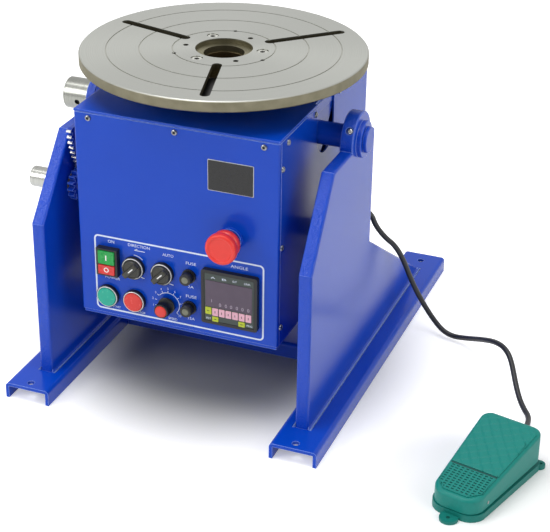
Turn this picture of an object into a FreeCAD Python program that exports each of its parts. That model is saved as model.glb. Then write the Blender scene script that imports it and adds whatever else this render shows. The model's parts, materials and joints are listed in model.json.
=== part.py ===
import FreeCAD, Part
import math
import os

# Welding positioner: a motor-driven round table on a control head that tilts between two posts.
# Millimetres, x to the operator's right, y away from the operator, z up.
# The pieces are laid out from the floor (z = 0) and the tilt axis (y = 0). At the end each piece is
# moved so that the origin is the centre of the table's top face.

Vector = FreeCAD.Vector

# ---------------------------------------------------------------- driving sizes
running_clearance = 0.05      # radial, shaft in bush
moving_gap = 0.3              # between pieces of different bodies that slide past each other
seat_gap = 1.0                # between turning faces along an axis

tilt_axis_z = 335.0
tilt_travel = 90.0            # degrees, towards the rear

# feet and cross channel
foot_width = 60.0
foot_height = 21.0
foot_wall = 4.5
foot_bend = 5.0
foot_front_y = -208.0
foot_rear_y = 335.0
foot_inset = 3.5              # foot's middle inside the post's outer face
foot_hole = 9.0
foot_hole_front_inset = 11.5
foot_hole_rear_inset = 20.5
cross_front_y = 17.0
cross_width = 60.0

# posts
post_gap = 34.5               # between each post and the side of the head
post_thickness = 16.5
post_front_y = -165.0
post_knee_z = 228.0
right_shoulder = (-96.0, 329.5)   # y and z where the sloping front edge meets the level top
left_shoulder = (-86.0, 324.0)
post_rear_y = 52.0
post_flare_z = 175.0
post_flare_y = 290.0
post_edge_round = 3.0
post_weld_round = 4.0
right_eye_radius = 33.5
left_eye_radius = 24.0
left_eye_thickness = 10.5
eye_boss_radius = 22.5
eye_boss_height = 6.0

# trunnions
journal_radius = 12.5
bush_wall = 3.0
hub_radius = 14.5
trunnion_cap_radius = 16.0
trunnion_cap_thickness = 4.5
collar_radius = 20.0
collar_length = 34.5
collar_recess = 2.0
collar_screw_hole = 7.0
eye_screw_head = 9.0
eye_screw_seat = 5.0          # depth of the screw's recess below the rim
eye_screw_angle = 35.0        # above the front horizontal
eye_screw_inset = 6.5         # from the post's outer face
trunnion_flange_radius = 25.0
trunnion_flange_thickness = 8.0

# head box
head_width = 260.0
head_front_y = -139.0
head_depth = 310.0
head_bottom_z = 110.0
head_above_axis = 38.0        # its top edge above the tilt axis
front_panel_thickness = 2.5
front_panel_flange = 6.0      # folded back over the sides
front_panel_bend = 2.5
panel_seam = 0.6
side_panel_thickness = 2.0
top_plate_thickness = 12.0
lid_thickness = 3.0           # lip of the top plate over the panels
bottom_plate_thickness = 5.0
corner_post_width = 14.0
slot_half_width = 30.0
slot_centre_y = 14.0
hanger_thickness = 12.0
hanger_width = 120.0
hanger_height = 82.0
hanger_cut_slope = 0.786      # rear edge's run backwards for each millimetre of height
hanger_cut_y = 31.0           # where that edge crosses the tilt axis height

# table and spindle
table_diameter = 350.0
table_thickness = 14.0
table_rise = 48.0             # table's top above the head's top edge
table_y = 7.0
table_chamfer = 1.5
table_recess_diameter = 70.0
table_recess_depth = 6.0
table_bore = 50.0
groove_diameters = (125.0, 205.0, 285.0)
groove_width = 1.6
groove_depth = 0.8
slot_width = 12.0
slot_undercut_width = 20.0
slot_undercut_depth = 7.0
slot_inner_radius = 60.0
slot_rim_margin = 20.0        # from the slot's outer centre to the table's rim
slot_angles = (45.0, 165.0, 285.0)
table_screw_circle = 95.0
table_screw_angles = (10.0, 130.0, 250.0)
table_screw_head = 13.0
table_screw_shank = 8.0
table_screw_head_length = 8.0
tapped_circle = 95.0
tapped_hole = 6.8
tapped_angles = (70.0, 190.0, 310.0)
small_circle = 125.0
small_hole = 5.0
small_angles = (100.0, 220.0, 340.0)
spindle_bore = 48.0
spindle_diameter = 60.0
spindle_shoulder = 68.0
spindle_shoulder_length = 6.0
spindle_flange_diameter = 130.0
spindle_flange_thickness = 8.0
bearing_outer_diameter = 95.0
bearing_width = 18.0
bearing_ring_wall = 6.0
bearing_spread = 40.0         # free length of housing between the two bearings
housing_wall = 11.5
housing_top_gap = 2.0
housing_flange_diameter = 160.0
housing_flange_thickness = 10.0
spindle_nut_diameter = 76.0
spindle_nut_thickness = 8.0

# gears
table_module = 2.5
spindle_gear_teeth = 60
drive_pinion_teeth = 16
gear_face = 14.0
tilt_module = 2.5
sector_circle_teeth = 82
tilt_pinion_teeth = 14
sector_face = 6.0
sector_first_angle = 0.0      # degrees below the front horizontal
sector_last_angle = 145.0
sector_hub_radius = 30.0
sector_inner_radius = 84.0
pinion_angle = 43.0           # tilt pinion, degrees below the front horizontal
pinion_face = 8.0
tooth_backlash = 0.3
pressure_angle = 20.0

# tilt crank shaft
crank_shaft_radius = 8.0
crank_boss_radius = 13.0
crank_boss_length = 36.0
crank_bush_radius = 13.0

# gear motor
gearbox_width = 80.0
gearbox_height = 40.0
motor_diameter = 70.0
motor_length = 70.0
motor_plate_thickness = 8.0
motor_shaft_radius = 6.0
motor_shaft_seat = 25.0

# operator panel: places from the head's middle, in columns a 26th of its width apart, and the floor
column = head_width / 26
button_places = {"start_button": (-9.3 * column, 135.5), "stop_button": (-5.7 * column, 135.5)}
selector_places = {"direction_selector": (-5.7 * column, 181.0), "mode_selector": (-1.85 * column, 181.0)}
bezel_radius = 14.5
bezel_opening = 12.5
bezel_height = 5.0
device_barrel = 11.0
device_block = 29.0
device_depth = 30.0
button_proud = 2.5
button_travel = 3.0
button_stem = 8.0
selector_height = 5.0
lever_length = 26.0
lever_width = 9.0
lever_height = 9.0
lever_angle = 225.0
estop_place = (7.04 * column, 244.5)
estop_radius = 20.0
estop_thickness = 9.0
estop_reach = 36.0
estop_sleeve = 16.0
estop_sleeve_back = 12.3      # sleeve's back edge in front of the panel, more than travel and ring
estop_travel = 6.0
estop_neck = 11.5
speed_place = (-1.25 * column, 139.7)
speed_knob_radius = 11.0
speed_knob_length = 17.5
speed_shaft_radius = 3.0
power_place = (-9.0 * column, 184.4)
power_face = (28.0, 36.4)
power_proud = 8.5
power_key_width = 21.5
power_key_spans = {"power_on_key": (182.8, 200.0), "power_off_key": (169.0, 181.2)}
power_key_proud = 2.0
power_key_travel = 3.0
power_depth = 28.0
fuse_places = ((1.6 * column, 184.0), (1.6 * column, 141.0))
fuse_flange_radius = 9.0
fuse_cap_radius = 7.0
fuse_cap_height = 11.0
fuse_body_radius = 6.0
fuse_body_length = 32.0
counter_place = (7.04 * column, 164.6)
counter_face = 72.0
counter_body = 66.0
counter_proud = 7.0
counter_depth = 60.0
counter_rim = 4.0
counter_window_depth = 1.2

screw_head_radius = 4.2
screw_head_height = 2.4
screw_shank_radius = 2.0
screw_shank_length = 8.0
front_screw_edge = 19.0       # outer screws from the front panel's sides
front_screw_inset = 6.0       # and below its top edge
side_screw_top_y = (-113.0, -22.5, 63.0, 150.0)
side_screw_inset = 7.0        # below the side panel's top edge
side_screw_drops = (34.0, 134.0, 240.0)

# back of the head
vent_rows = 6
vent_spacing = 8.0
vent_height = 3.0
vent_half_width = 45.0
vent_low_z = 300.0
inlet_place = (-60.0, 150.0)
inlet_half = (13.5, 9.5)

# foot pedal, in its own frame: s along its middle from near the toe to the heel, n to the left
pedal_origin = (383.5, -225.3)
pedal_yaw = 77.0
pedal_toe_s = -13.0
pedal_heel_s = 137.0
pedal_front_half = 29.5       # half width at the toe and at the heel
pedal_rear_half = 39.5
pedal_heel_round = 14.0
pedal_toe_round = 21.0
pedal_top_round = 4.5
pedal_base_height = 9.0
pedal_base_lip = 2.0
pedal_base_wall = 6.0
pedal_floor = 3.0
treadle_front_z = 28.0
treadle_rear_z = 52.0
treadle_wall = 3.0
treadle_gap_toe = 1.0
treadle_gap_heel = 3.6
pedal_pin_s = 14.0
pedal_pin_z = 17.0
pedal_pin_radius = 2.0
pedal_lug_width = 4.0
pedal_ears = (                # s, n and radius of each fixing ear, and of its hole
    (-19.0, 0.0, 11.0, -20.5, 0.0, 2.5),
    (134.0, -36.5, 8.0, 136.0, -38.5, 2.0),
    (134.0, 36.5, 8.0, 136.0, 38.5, 2.0),
)
pedal_ear_thickness = 4.0
pedal_gland_z = 19.0

# pedal cable
cable_diameter = 7.0
gland_radius = 7.5
gland_length = 16.0
bracket_thickness = 3.0
gland_gap = 14.5              # gland's axis from the right post
cable_start_place = (22.0, 203.0)
cable_route = (
    (150.2, 46.0, 203.0),
    (151.8, 69.0, 202.0),
    (157.0, 89.0, 198.5),
    (165.5, 103.0, 187.0),
    (169.4, 110.0, 167.9),
    (181.5, 116.0, 150.0),
    (193.9, 122.0, 137.9),
    (202.7, 133.0, 114.2),
    (209.9, 145.0, 83.8),
    (218.2, 153.0, 59.1),
    (230.7, 156.1, 36.5),
    (245.7, 152.2, 20.0),
    (260.9, 144.8, 11.0),
    (274.8, 142.8, 7.5),
    (288.8, 138.4, 10.5),
    (306.0, 123.3, 21.0),
    (324.7, 103.7, 34.5),
    (342.1, 85.1, 46.0),
    (356.7, 70.9, 51.0),
    (367.9, 59.0, 49.5),
    (375.6, 49.0, 43.0),
    (382.0, 37.8, 34.0),
    (389.2, 24.5, 24.5),
    (397.6, 9.5, 16.5),
    (407.5, -5.4, 12.0),
    (417.5, -20.1, 11.5),
    (420.6, -45.0, 14.5),
)


# electrics on the bottom plate, across, along and up
supply_x = (-100.0, -20.0)
supply_y = (20.0, 130.0)
supply_height = 45.0
board_x = (20.0, 110.0)
board_y = (10.0, 130.0)
board_thickness = 1.6
pillar_radius = 3.0
pillar_height = 8.0
pillar_inset = 6.0
chip_x, chip_y, chip_height = (35.0, 60.0), (30.0, 60.0), 4.4
relay_x, relay_y, relay_height = (70.0, 98.0), (80.0, 115.0), 14.4
capacitor_x, capacitor_y = 45.0, 100.0
capacitor_radius = 9.0
capacitor_height = 24.4


# ---------------------------------------------------------------- derived places
post_outer_x = head_width / 2 + post_gap + post_thickness
foot_centre_x = post_outer_x - foot_inset
head_top_z = tilt_axis_z + head_above_axis
table_top_z = head_top_z + table_rise
slot_outer_radius = table_diameter / 2 - slot_rim_margin
front_screw_x = (front_screw_edge - head_width / 2, 0.0, head_width / 2 - front_screw_edge)
front_screw_z = head_top_z - front_screw_inset
side_screw_top_z = head_top_z - side_screw_inset
side_screw_column_z = [head_top_z - drop for drop in side_screw_drops]
head_rear_y = head_front_y + head_depth
head_inner_x = head_width / 2 - side_panel_thickness
panel_back_y = head_front_y + front_panel_thickness
rear_panel_y = head_rear_y - side_panel_thickness
side_screw_column_y = panel_back_y + corner_post_width / 2
top_plate_z = head_top_z - top_plate_thickness
lid_bottom_z = head_top_z + panel_seam
lid_top_z = lid_bottom_z + lid_thickness
side_panel_front_y = head_front_y + front_panel_flange + panel_seam
post_inner_x = post_outer_x - post_thickness
cable_start = (post_inner_x - gland_gap, *cable_start_place)
bush_radius = journal_radius + bush_wall
hub_end_x = post_inner_x - seat_gap
hanger_outer_x = head_inner_x - seat_gap
hanger_inner_x = hanger_outer_x - hanger_thickness

table_bottom_z = table_top_z - table_thickness
flange_bottom_z = table_bottom_z - spindle_flange_thickness
upper_bearing_top = flange_bottom_z - spindle_shoulder_length
housing_top_z = flange_bottom_z - housing_top_gap
lower_bearing_top = upper_bearing_top - bearing_width - bearing_spread
housing_bottom_z = lower_bearing_top - bearing_width
nut_bottom_z = housing_bottom_z - spindle_nut_thickness
gear_top_z = nut_bottom_z
spindle_bottom_z = gear_top_z - gear_face
housing_radius = bearing_outer_diameter / 2 + housing_wall

spindle_gear_pitch = table_module * spindle_gear_teeth / 2
drive_pinion_pitch = table_module * drive_pinion_teeth / 2
drive_axis_y = table_y + spindle_gear_pitch + drive_pinion_pitch
sector_pitch = tilt_module * sector_circle_teeth / 2
tilt_pinion_pitch = tilt_module * tilt_pinion_teeth / 2
tilt_centres = sector_pitch + tilt_pinion_pitch
pinion_y = -tilt_centres * math.cos(math.radians(pinion_angle))
pinion_z = tilt_axis_z - tilt_centres * math.sin(math.radians(pinion_angle))
sector_outer_x = -(post_inner_x - 4.5)
motor_plate_top = gear_top_z - gear_face - 3.0


# ---------------------------------------------------------------- shape helpers
def block(x_range, y_range, z_range):
    size = [high - low for low, high in (x_range, y_range, z_range)]
    return Part.makeBox(*size, Vector(x_range[0], y_range[0], z_range[0]))


def rod_x(radius, x_low, x_high, y, z):
    return Part.makeCylinder(radius, x_high - x_low, Vector(x_low, y, z), Vector(1, 0, 0))


def rod_y(radius, y_low, y_high, x, z):
    return Part.makeCylinder(radius, y_high - y_low, Vector(x, y_low, z), Vector(0, 1, 0))


def rod_z(radius, z_low, z_high, x, y):
    return Part.makeCylinder(radius, z_high - z_low, Vector(x, y, z_low), Vector(0, 0, 1))


def prism(points, direction):
    closed = [Vector(*point) for point in points]
    wire = Part.makePolygon(closed + closed[:1])
    return Part.Face(wire).extrude(direction)


def mirrored(shape):
    return shape.mirror(Vector(0, 0, 0), Vector(1, 0, 0))


def on_circle(diameter, degrees):
    angle = math.radians(degrees)
    return diameter / 2 * math.cos(angle), table_y + diameter / 2 * math.sin(angle)


def round_edges(shape, radius, chosen):
    return shape.makeFillet(radius, [edge for edge in shape.Edges if chosen(edge)])


def flank_angle(base_radius, radius):
    """Polar angle that an involute gains between its base circle and a radius."""
    if radius <= base_radius:
        return 0.0
    roll = math.sqrt((radius / base_radius) ** 2 - 1)
    return roll - math.atan(roll)


def gear_outline(module, teeth, first_tooth, tooth_total, tooth_angle):
    """Points (radius, angle) round the teeth, one tooth centred at tooth_angle (radians)."""
    pitch_radius = module * teeth / 2
    base_radius = pitch_radius * math.cos(math.radians(pressure_angle))
    root_radius = pitch_radius - 1.25 * module
    tip_radius = pitch_radius + module
    half_at_pitch = (math.pi * module / 2 - tooth_backlash / 2) / 2 / pitch_radius
    half_at_base = half_at_pitch + flank_angle(base_radius, pitch_radius)
    points = []
    for number in range(first_tooth, first_tooth + tooth_total):
        centre = tooth_angle + number * 2 * math.pi / teeth
        radii = (root_radius, pitch_radius, tip_radius)
        halves = [half_at_base - flank_angle(base_radius, radius) for radius in radii]
        points += [(radius, centre - half) for radius, half in zip(radii, halves)]
        points += [(radius, centre + half) for radius, half in zip(radii[::-1], halves[::-1])]
    return points


def bearing_ring(z_top, outer_radius, inner_radius):
    ring = rod_z(outer_radius, z_top - bearing_width, z_top, 0, table_y)
    return ring.cut(rod_z(inner_radius, z_top - bearing_width, z_top, 0, table_y))


# ---------------------------------------------------------------- base: feet, posts, bushes
def channel(length):
    """Folded channel, open below, along y from 0, centred on x = 0."""
    half = foot_width / 2
    outer = block((-half, half), (0, length), (0, foot_height))
    outer = round_edges(outer, foot_bend, lambda edge: edge.CenterOfMass.z > foot_height - 0.1
                        and abs(edge.CenterOfMass.y - length / 2) < 0.1)
    inner_half = half - foot_wall
    inner = block((-inner_half, inner_half), (-1, length + 1), (-1, foot_height - foot_wall))
    return outer.cut(inner)


def right_foot():
    foot = channel(foot_rear_y - foot_front_y)
    foot.translate(Vector(foot_centre_x, foot_front_y, 0))
    for y in (foot_front_y + foot_hole_front_inset, foot_rear_y - foot_hole_rear_inset):
        foot = foot.cut(rod_z(foot_hole / 2, 0, foot_height + 1, foot_centre_x, y))
    return foot


def cross_channel():
    length = 2 * (foot_centre_x - foot_width / 2)
    beam = channel(length)
    beam.translate(Vector(0, -length / 2, 0))
    beam.rotate(Vector(0, 0, 0), Vector(0, 0, 1), 90)
    beam.translate(Vector(0, cross_front_y + cross_width / 2, 0))
    return beam


def post_outline(shoulder):
    shoulder_y, top_z = shoulder
    return (
        (post_front_y, foot_height),
        (post_front_y, post_knee_z),
        (shoulder_y, top_z),
        (post_rear_y, top_z),
        (post_rear_y, post_flare_z),
        (post_flare_y, foot_height),
    )


def weld_fillet(x_face, outward):
    """Concave weld between a post face and its foot, all along the foot."""
    r = post_weld_round
    corner = Vector(x_face, post_front_y, foot_height)
    on_foot = corner + Vector(outward * r, 0, 0)
    on_post = corner + Vector(0, 0, r)
    centre = corner + Vector(outward * r, 0, r)
    middle = centre + Vector(-outward * r * math.sqrt(0.5), 0, -r * math.sqrt(0.5))
    edges = [
        Part.LineSegment(corner, on_foot).toShape(),
        Part.Arc(on_foot, middle, on_post).toShape(),
        Part.LineSegment(on_post, corner).toShape(),
    ]
    strip = Part.Face(Part.Wire(edges)).extrude(Vector(0, post_flare_y - post_front_y, 0))
    slope = [(x_face - 2 * r, y, z) for y, z in post_outline(right_shoulder)]
    return strip.common(prism(slope, Vector(4 * r, 0, 0)))


def post(shoulder):
    """Plate with its weld, without the eye."""
    plate = prism([(post_inner_x, y, z) for y, z in post_outline(shoulder)], Vector(post_thickness, 0, 0))

    def outline_edge(edge):
        flat = edge.BoundBox.XLength < 0.01
        return flat and edge.BoundBox.ZMax > foot_height + 0.1

    plate = round_edges(plate, post_edge_round, outline_edge)
    return plate.fuse([weld_fillet(post_outer_x, 1), weld_fillet(post_inner_x, -1)])


def right_post():
    eye = rod_x(right_eye_radius, post_inner_x, post_outer_x, 0, tilt_axis_z)
    eye = eye.makeChamfer(1.0, [edge for edge in eye.Edges if edge.BoundBox.XLength < 0.01])
    boss_x = post_outer_x + eye_boss_height
    boss = rod_x(eye_boss_radius, post_outer_x - 1, boss_x, 0, tilt_axis_z)
    boss = round_edges(boss, 1.0, lambda edge: edge.CenterOfMass.x > boss_x - 0.1 and edge.BoundBox.XLength < 0.01)
    shape = post(right_shoulder).fuse([eye, boss])
    bore = rod_x(bush_radius, post_inner_x - 1, boss_x + 1, 0, tilt_axis_z)
    return shape.cut([bore, eye_screw_hole()]).removeSplitter()


def eye_rod(radius, inner, outer):
    """Rod on the eye screw's axis, between two distances from the tilt axis."""
    rod = rod_y(radius, -outer, -inner, post_outer_x - eye_screw_inset, tilt_axis_z)
    rod.rotate(Vector(0, 0, tilt_axis_z), Vector(1, 0, 0), -eye_screw_angle)
    return rod


def eye_screw_hole():
    seat = right_eye_radius - eye_screw_seat
    hole = eye_rod(eye_screw_head / 2, seat, right_eye_radius + 3)
    return hole.fuse(eye_rod(screw_shank_radius, bush_radius, seat + 1))


def eye_screw():
    """Screw through the right eye that keeps its bush from turning."""
    seat = right_eye_radius - eye_screw_seat
    head = eye_rod(eye_screw_head / 2 - 0.9, seat, right_eye_radius - 1.5)
    return head.fuse(eye_rod(screw_shank_radius, bush_radius, seat + 1))


def left_post():
    plate = post(left_shoulder)
    recess = rod_x(left_eye_radius, post_inner_x + left_eye_thickness, post_outer_x + 1, 0, tilt_axis_z)
    eye = rod_x(left_eye_radius, post_inner_x, post_inner_x + left_eye_thickness, 0, tilt_axis_z)
    bore = rod_x(bush_radius, post_inner_x - 1, post_outer_x + 1, 0, tilt_axis_z)
    shape = mirrored(plate.cut(recess).fuse(eye).cut(bore).removeSplitter())
    crank_bore = rod_x(crank_bush_radius, -post_outer_x - 1, -post_inner_x + 1, pinion_y, pinion_z)
    return shape.cut(crank_bore)


def trunnion_bushes():
    right = rod_x(bush_radius, post_inner_x, post_outer_x + eye_boss_height, 0, tilt_axis_z)
    left = rod_x(bush_radius, -post_inner_x - left_eye_thickness, -post_inner_x, 0, tilt_axis_z)
    bore = rod_x(journal_radius + running_clearance, -2 * post_outer_x, 2 * post_outer_x, 0, tilt_axis_z)
    return Part.Compound([right.cut(bore), left.cut(bore)])


def crank_bush():
    bush = rod_x(crank_bush_radius, -post_outer_x, -post_inner_x, pinion_y, pinion_z)
    bore = rod_x(crank_shaft_radius + running_clearance, -post_outer_x - 1, -post_inner_x + 1, pinion_y, pinion_z)
    return bush.cut(bore)


# ---------------------------------------------------------------- tilt crank and sector
def tilt_crank_shaft():
    boss_x = -post_outer_x - seat_gap
    boss = rod_x(crank_boss_radius, boss_x - crank_boss_length, boss_x, pinion_y, pinion_z)
    boss = round_edges(boss, 1.5, lambda edge: edge.CenterOfMass.x < boss_x - crank_boss_length + 0.1)
    shaft = rod_x(crank_shaft_radius, boss_x, sector_outer_x + pinion_face, pinion_y, pinion_z)
    return boss.fuse(shaft).removeSplitter()


def outline_face(points, x, centre_y, centre_z):
    """Face at x from (radius, angle) points. Angle 0 points to the front, 90 degrees points down."""
    corners = [Vector(x, centre_y - r * math.cos(a), centre_z - r * math.sin(a)) for r, a in points]
    return Part.Face(Part.makePolygon(corners + corners[:1]))


def tilt_pinion():
    half_pitch = math.pi / tilt_pinion_teeth
    facing = math.radians(pinion_angle) + math.pi + half_pitch
    points = gear_outline(tilt_module, tilt_pinion_teeth, 0, tilt_pinion_teeth, facing)
    disc = outline_face(points, sector_outer_x - 1.5, pinion_y, pinion_z)
    disc = disc.extrude(Vector(pinion_face, 0, 0))
    shaft = rod_x(crank_shaft_radius, sector_outer_x - 2, sector_outer_x + 2 * pinion_face, pinion_y, pinion_z)
    return disc.cut(shaft)


def tilt_sector():
    step = 360.0 / sector_circle_teeth
    first = -int((pinion_angle - sector_first_angle) / step)
    total = int((sector_last_angle - sector_first_angle) / step)
    rim = gear_outline(tilt_module, sector_circle_teeth, first, total, math.radians(pinion_angle))
    start, end = rim[0][1], rim[-1][1]
    points = rim + [(sector_inner_radius, end), (sector_inner_radius, start)]
    thickness = Vector(sector_face, 0, 0)

    def polar(radius, angle):
        return Vector(sector_outer_x, -radius * math.cos(angle), tilt_axis_z - radius * math.sin(angle))

    teeth_edges = Part.makePolygon([polar(r, a) for r, a in rim]).Edges
    inner_arc = Part.Arc(polar(sector_inner_radius, end), polar(sector_inner_radius, (start + end) / 2),
                         polar(sector_inner_radius, start)).toShape()
    sides = [
        Part.LineSegment(polar(*rim[-1]), polar(sector_inner_radius, end)).toShape(),
        inner_arc,
        Part.LineSegment(polar(sector_inner_radius, start), polar(*rim[0])).toShape(),
    ]
    rim_ring = Part.Face(Part.Wire(teeth_edges + sides)).extrude(thickness)
    hub = rod_x(sector_hub_radius, sector_outer_x, sector_outer_x + sector_face, 0, tilt_axis_z)
    shape = rim_ring.fuse(hub)
    spoke_count = 4
    for number in range(spoke_count):
        angle = start + (end - start) * number / (spoke_count - 1)
        inset = 9.0 * (1 if number == 0 else -1 if number == spoke_count - 1 else 0)
        shape = shape.fuse(sector_spoke(angle, inset))
    bore = rod_x(hub_radius, sector_outer_x - 1, sector_outer_x + sector_face + 1, 0, tilt_axis_z)
    return shape.cut(bore).removeSplitter()


def sector_spoke(angle, inset):
    half = 9.0
    spoke = block((sector_outer_x, sector_outer_x + sector_face), (-sector_inner_radius - 3, -hub_radius),
                  (tilt_axis_z - half - inset, tilt_axis_z + half - inset))
    spoke.rotate(Vector(0, 0, tilt_axis_z), Vector(1, 0, 0), math.degrees(angle))
    return spoke


def right_trunnion():
    flange = rod_x(trunnion_flange_radius, hanger_inner_x - trunnion_flange_thickness, hanger_inner_x, 0, tilt_axis_z)
    hub = rod_x(hub_radius, hanger_inner_x, hub_end_x, 0, tilt_axis_z)
    journal = rod_x(journal_radius, hub_end_x, trunnion_cap_x(), 0, tilt_axis_z)
    return flange.fuse([hub, journal]).removeSplitter()


def trunnion_cap_x():
    return post_outer_x + eye_boss_height + moving_gap


def trunnion_cap():
    """Disc screwed to the end of the right journal, over the bush."""
    end_x = trunnion_cap_x() + trunnion_cap_thickness
    cap = rod_x(trunnion_cap_radius, trunnion_cap_x(), end_x, 0, tilt_axis_z)
    return round_edges(cap, 1.0, lambda edge: edge.CenterOfMass.x > end_x - 0.1)


def collar_x():
    return -post_inner_x - left_eye_thickness - moving_gap


def left_trunnion():
    flange = rod_x(trunnion_flange_radius, -hanger_inner_x, -hanger_inner_x + trunnion_flange_thickness, 0, tilt_axis_z)
    hub = rod_x(hub_radius, -hub_end_x, -hanger_inner_x, 0, tilt_axis_z)
    end_x = collar_x() - collar_length + collar_recess
    journal = rod_x(journal_radius, end_x, -hub_end_x, 0, tilt_axis_z)
    return flange.fuse([hub, journal]).removeSplitter()


def trunnion_collar():
    inner_x = collar_x()
    outer_x = inner_x - collar_length
    collar = rod_x(collar_radius, outer_x, inner_x, 0, tilt_axis_z)
    collar = round_edges(collar, 1.5, lambda edge: edge.BoundBox.XLength < 0.01)
    collar = collar.cut(rod_x(journal_radius, outer_x - 1, inner_x + 1, 0, tilt_axis_z))
    return collar.cut(collar_screw_rod(collar_screw_hole / 2, collar_radius + 1))


def collar_screw_rod(radius, reach):
    middle_x = collar_x() - 0.42 * collar_length
    rod = rod_y(radius, -reach, -journal_radius, middle_x, tilt_axis_z)
    rod.rotate(Vector(0, 0, tilt_axis_z), Vector(1, 0, 0), 12)
    return rod


def collar_screw():
    return collar_screw_rod(collar_screw_hole / 2, collar_radius - 3)


# ---------------------------------------------------------------- head box
def side_panel():
    panel = block((head_inner_x, head_width / 2), (side_panel_front_y, rear_panel_y), (head_bottom_z, head_top_z))
    slot = rod_x(slot_half_width, head_inner_x - 1, head_width / 2 + 1, slot_centre_y, tilt_axis_z)
    mouth = block((head_inner_x - 1, head_width / 2 + 1),
                  (slot_centre_y - slot_half_width, slot_centre_y + slot_half_width),
                  (tilt_axis_z, head_top_z + 1))
    return panel.cut(slot).cut(mouth).cut(screw_holes()).removeSplitter()


def front_panel():
    half = head_width / 2
    flange_end_y = head_front_y + front_panel_flange
    panel = block((-half, half), (head_front_y, flange_end_y), (head_bottom_z, head_top_z))
    panel = round_edges(panel, front_panel_bend, lambda edge: edge.BoundBox.ZLength > 1
                        and edge.CenterOfMass.y < head_front_y + 0.1)
    panel = panel.cut(block((-head_inner_x, head_inner_x), (panel_back_y, flange_end_y + 1),
                            (head_bottom_z - 1, head_top_z + 1)))
    cuts = []

    def hole(radius, x, z):
        cuts.append(rod_y(radius, head_front_y - 1, panel_back_y + 1, x, z))

    for x, z in list(button_places.values()) + list(selector_places.values()) + [estop_place]:
        hole(device_barrel, x, z)
    for x, z in fuse_places:
        hole(fuse_body_radius, x, z)
    hole(speed_shaft_radius + 1.5, *speed_place)
    for (x, z), (width, height) in ((power_place, power_cutout()), (counter_place, (counter_body, counter_body))):
        cuts.append(block((x - width / 2, x + width / 2), (head_front_y - 1, panel_back_y + 1),
                          (z - height / 2, z + height / 2)))
    return panel.cut(cuts).cut(screw_holes())


def power_cutout():
    return power_face[0] - 2, power_face[1] - 2


def rear_panel():
    half = head_width / 2
    panel = block((-half, half), (rear_panel_y, head_rear_y), (head_bottom_z, head_top_z))
    cuts = []
    for row in range(vent_rows):
        z = vent_low_z + vent_spacing * row
        cuts.append(block((-vent_half_width, vent_half_width), (rear_panel_y - 1, head_rear_y + 1), (z, z + vent_height)))
    x, z = inlet_place
    half_x, half_z = inlet_half
    cuts.append(block((x - half_x, x + half_x), (rear_panel_y - 1, head_rear_y + 1), (z - half_z, z + half_z)))
    return panel.cut(cuts)


def top_plate():
    """Thick plate between the panels, with a thin lip over their upper edges, open above the side slots."""
    half = head_width / 2
    lip = block((-half, half), (head_front_y, head_rear_y), (lid_bottom_z, lid_top_z))
    lip = round_edges(lip, 1.0, lambda edge: edge.CenterOfMass.z > lid_top_z - 0.1)
    for low, high in ((head_inner_x - seat_gap, half + 1), (-half - 1, seat_gap - head_inner_x)):
        lip = lip.cut(block((low, high), (slot_centre_y - slot_half_width, slot_centre_y + slot_half_width),
                            (lid_bottom_z - 1, lid_top_z + 1)))
    plate = block((-head_inner_x, head_inner_x), (panel_back_y, rear_panel_y), (top_plate_z, lid_bottom_z))
    plate = plate.fuse(lip).cut(screw_holes())
    return plate.cut(rod_z(housing_radius, top_plate_z - 1, lid_top_z + 1, 0, table_y)).removeSplitter()


def bottom_plate():
    return block((-head_inner_x, head_inner_x), (panel_back_y, rear_panel_y),
                 (head_bottom_z - bottom_plate_thickness, head_bottom_z))


def corner_posts():
    w = corner_post_width
    bars = []
    for x in (-head_inner_x, head_inner_x - w):
        for y in (panel_back_y, rear_panel_y - w):
            bars.append(block((x, x + w), (y, y + w), (head_bottom_z, top_plate_z)).cut(screw_holes()))
    return Part.Compound(bars)


def trunnion_hangers():
    plates = []
    for low, high in ((hanger_inner_x, hanger_outer_x), (-hanger_outer_x, -hanger_inner_x)):
        bottom_z = top_plate_z - hanger_height
        front_y = -hanger_width / 2
        edge_top = hanger_cut_y + hanger_cut_slope * (top_plate_z - tilt_axis_z)
        edge_bottom = hanger_cut_y + hanger_cut_slope * (bottom_z - tilt_axis_z)
        outline = [(front_y, top_plate_z), (front_y, bottom_z), (edge_bottom, bottom_z), (edge_top, top_plate_z)]
        plate = prism([(low, y, z) for y, z in outline], Vector(high - low, 0, 0))
        plates.append(plate.cut(rod_x(hub_radius, low - 1, high + 1, 0, tilt_axis_z)))
    return Part.Compound(plates)


def side_screw_places():
    top_row = [(y, side_screw_top_z) for y in side_screw_top_y]
    return top_row + [(side_screw_column_y, z) for z in side_screw_column_z]


def panel_screw_rods(radius, below, above):
    """Rods on the axes of the head's screws, from below the panel face to above it."""
    rods = [rod_y(radius, head_front_y - above, head_front_y + below, x, front_screw_z) for x in front_screw_x]
    face = head_width / 2
    for y, z in side_screw_places():
        rods.append(rod_x(radius, face - below, face + above, y, z))
        rods.append(rod_x(radius, -face - above, -face + below, y, z))
    return rods


def panel_screws():
    shanks = panel_screw_rods(screw_shank_radius, screw_shank_length, 0)
    heads = panel_screw_rods(screw_head_radius, 0, screw_head_height)
    return Part.Compound([shank.fuse(head) for shank, head in zip(shanks, heads)])


def screw_holes():
    return Part.Compound(panel_screw_rods(screw_shank_radius, screw_shank_length, 1))


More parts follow.
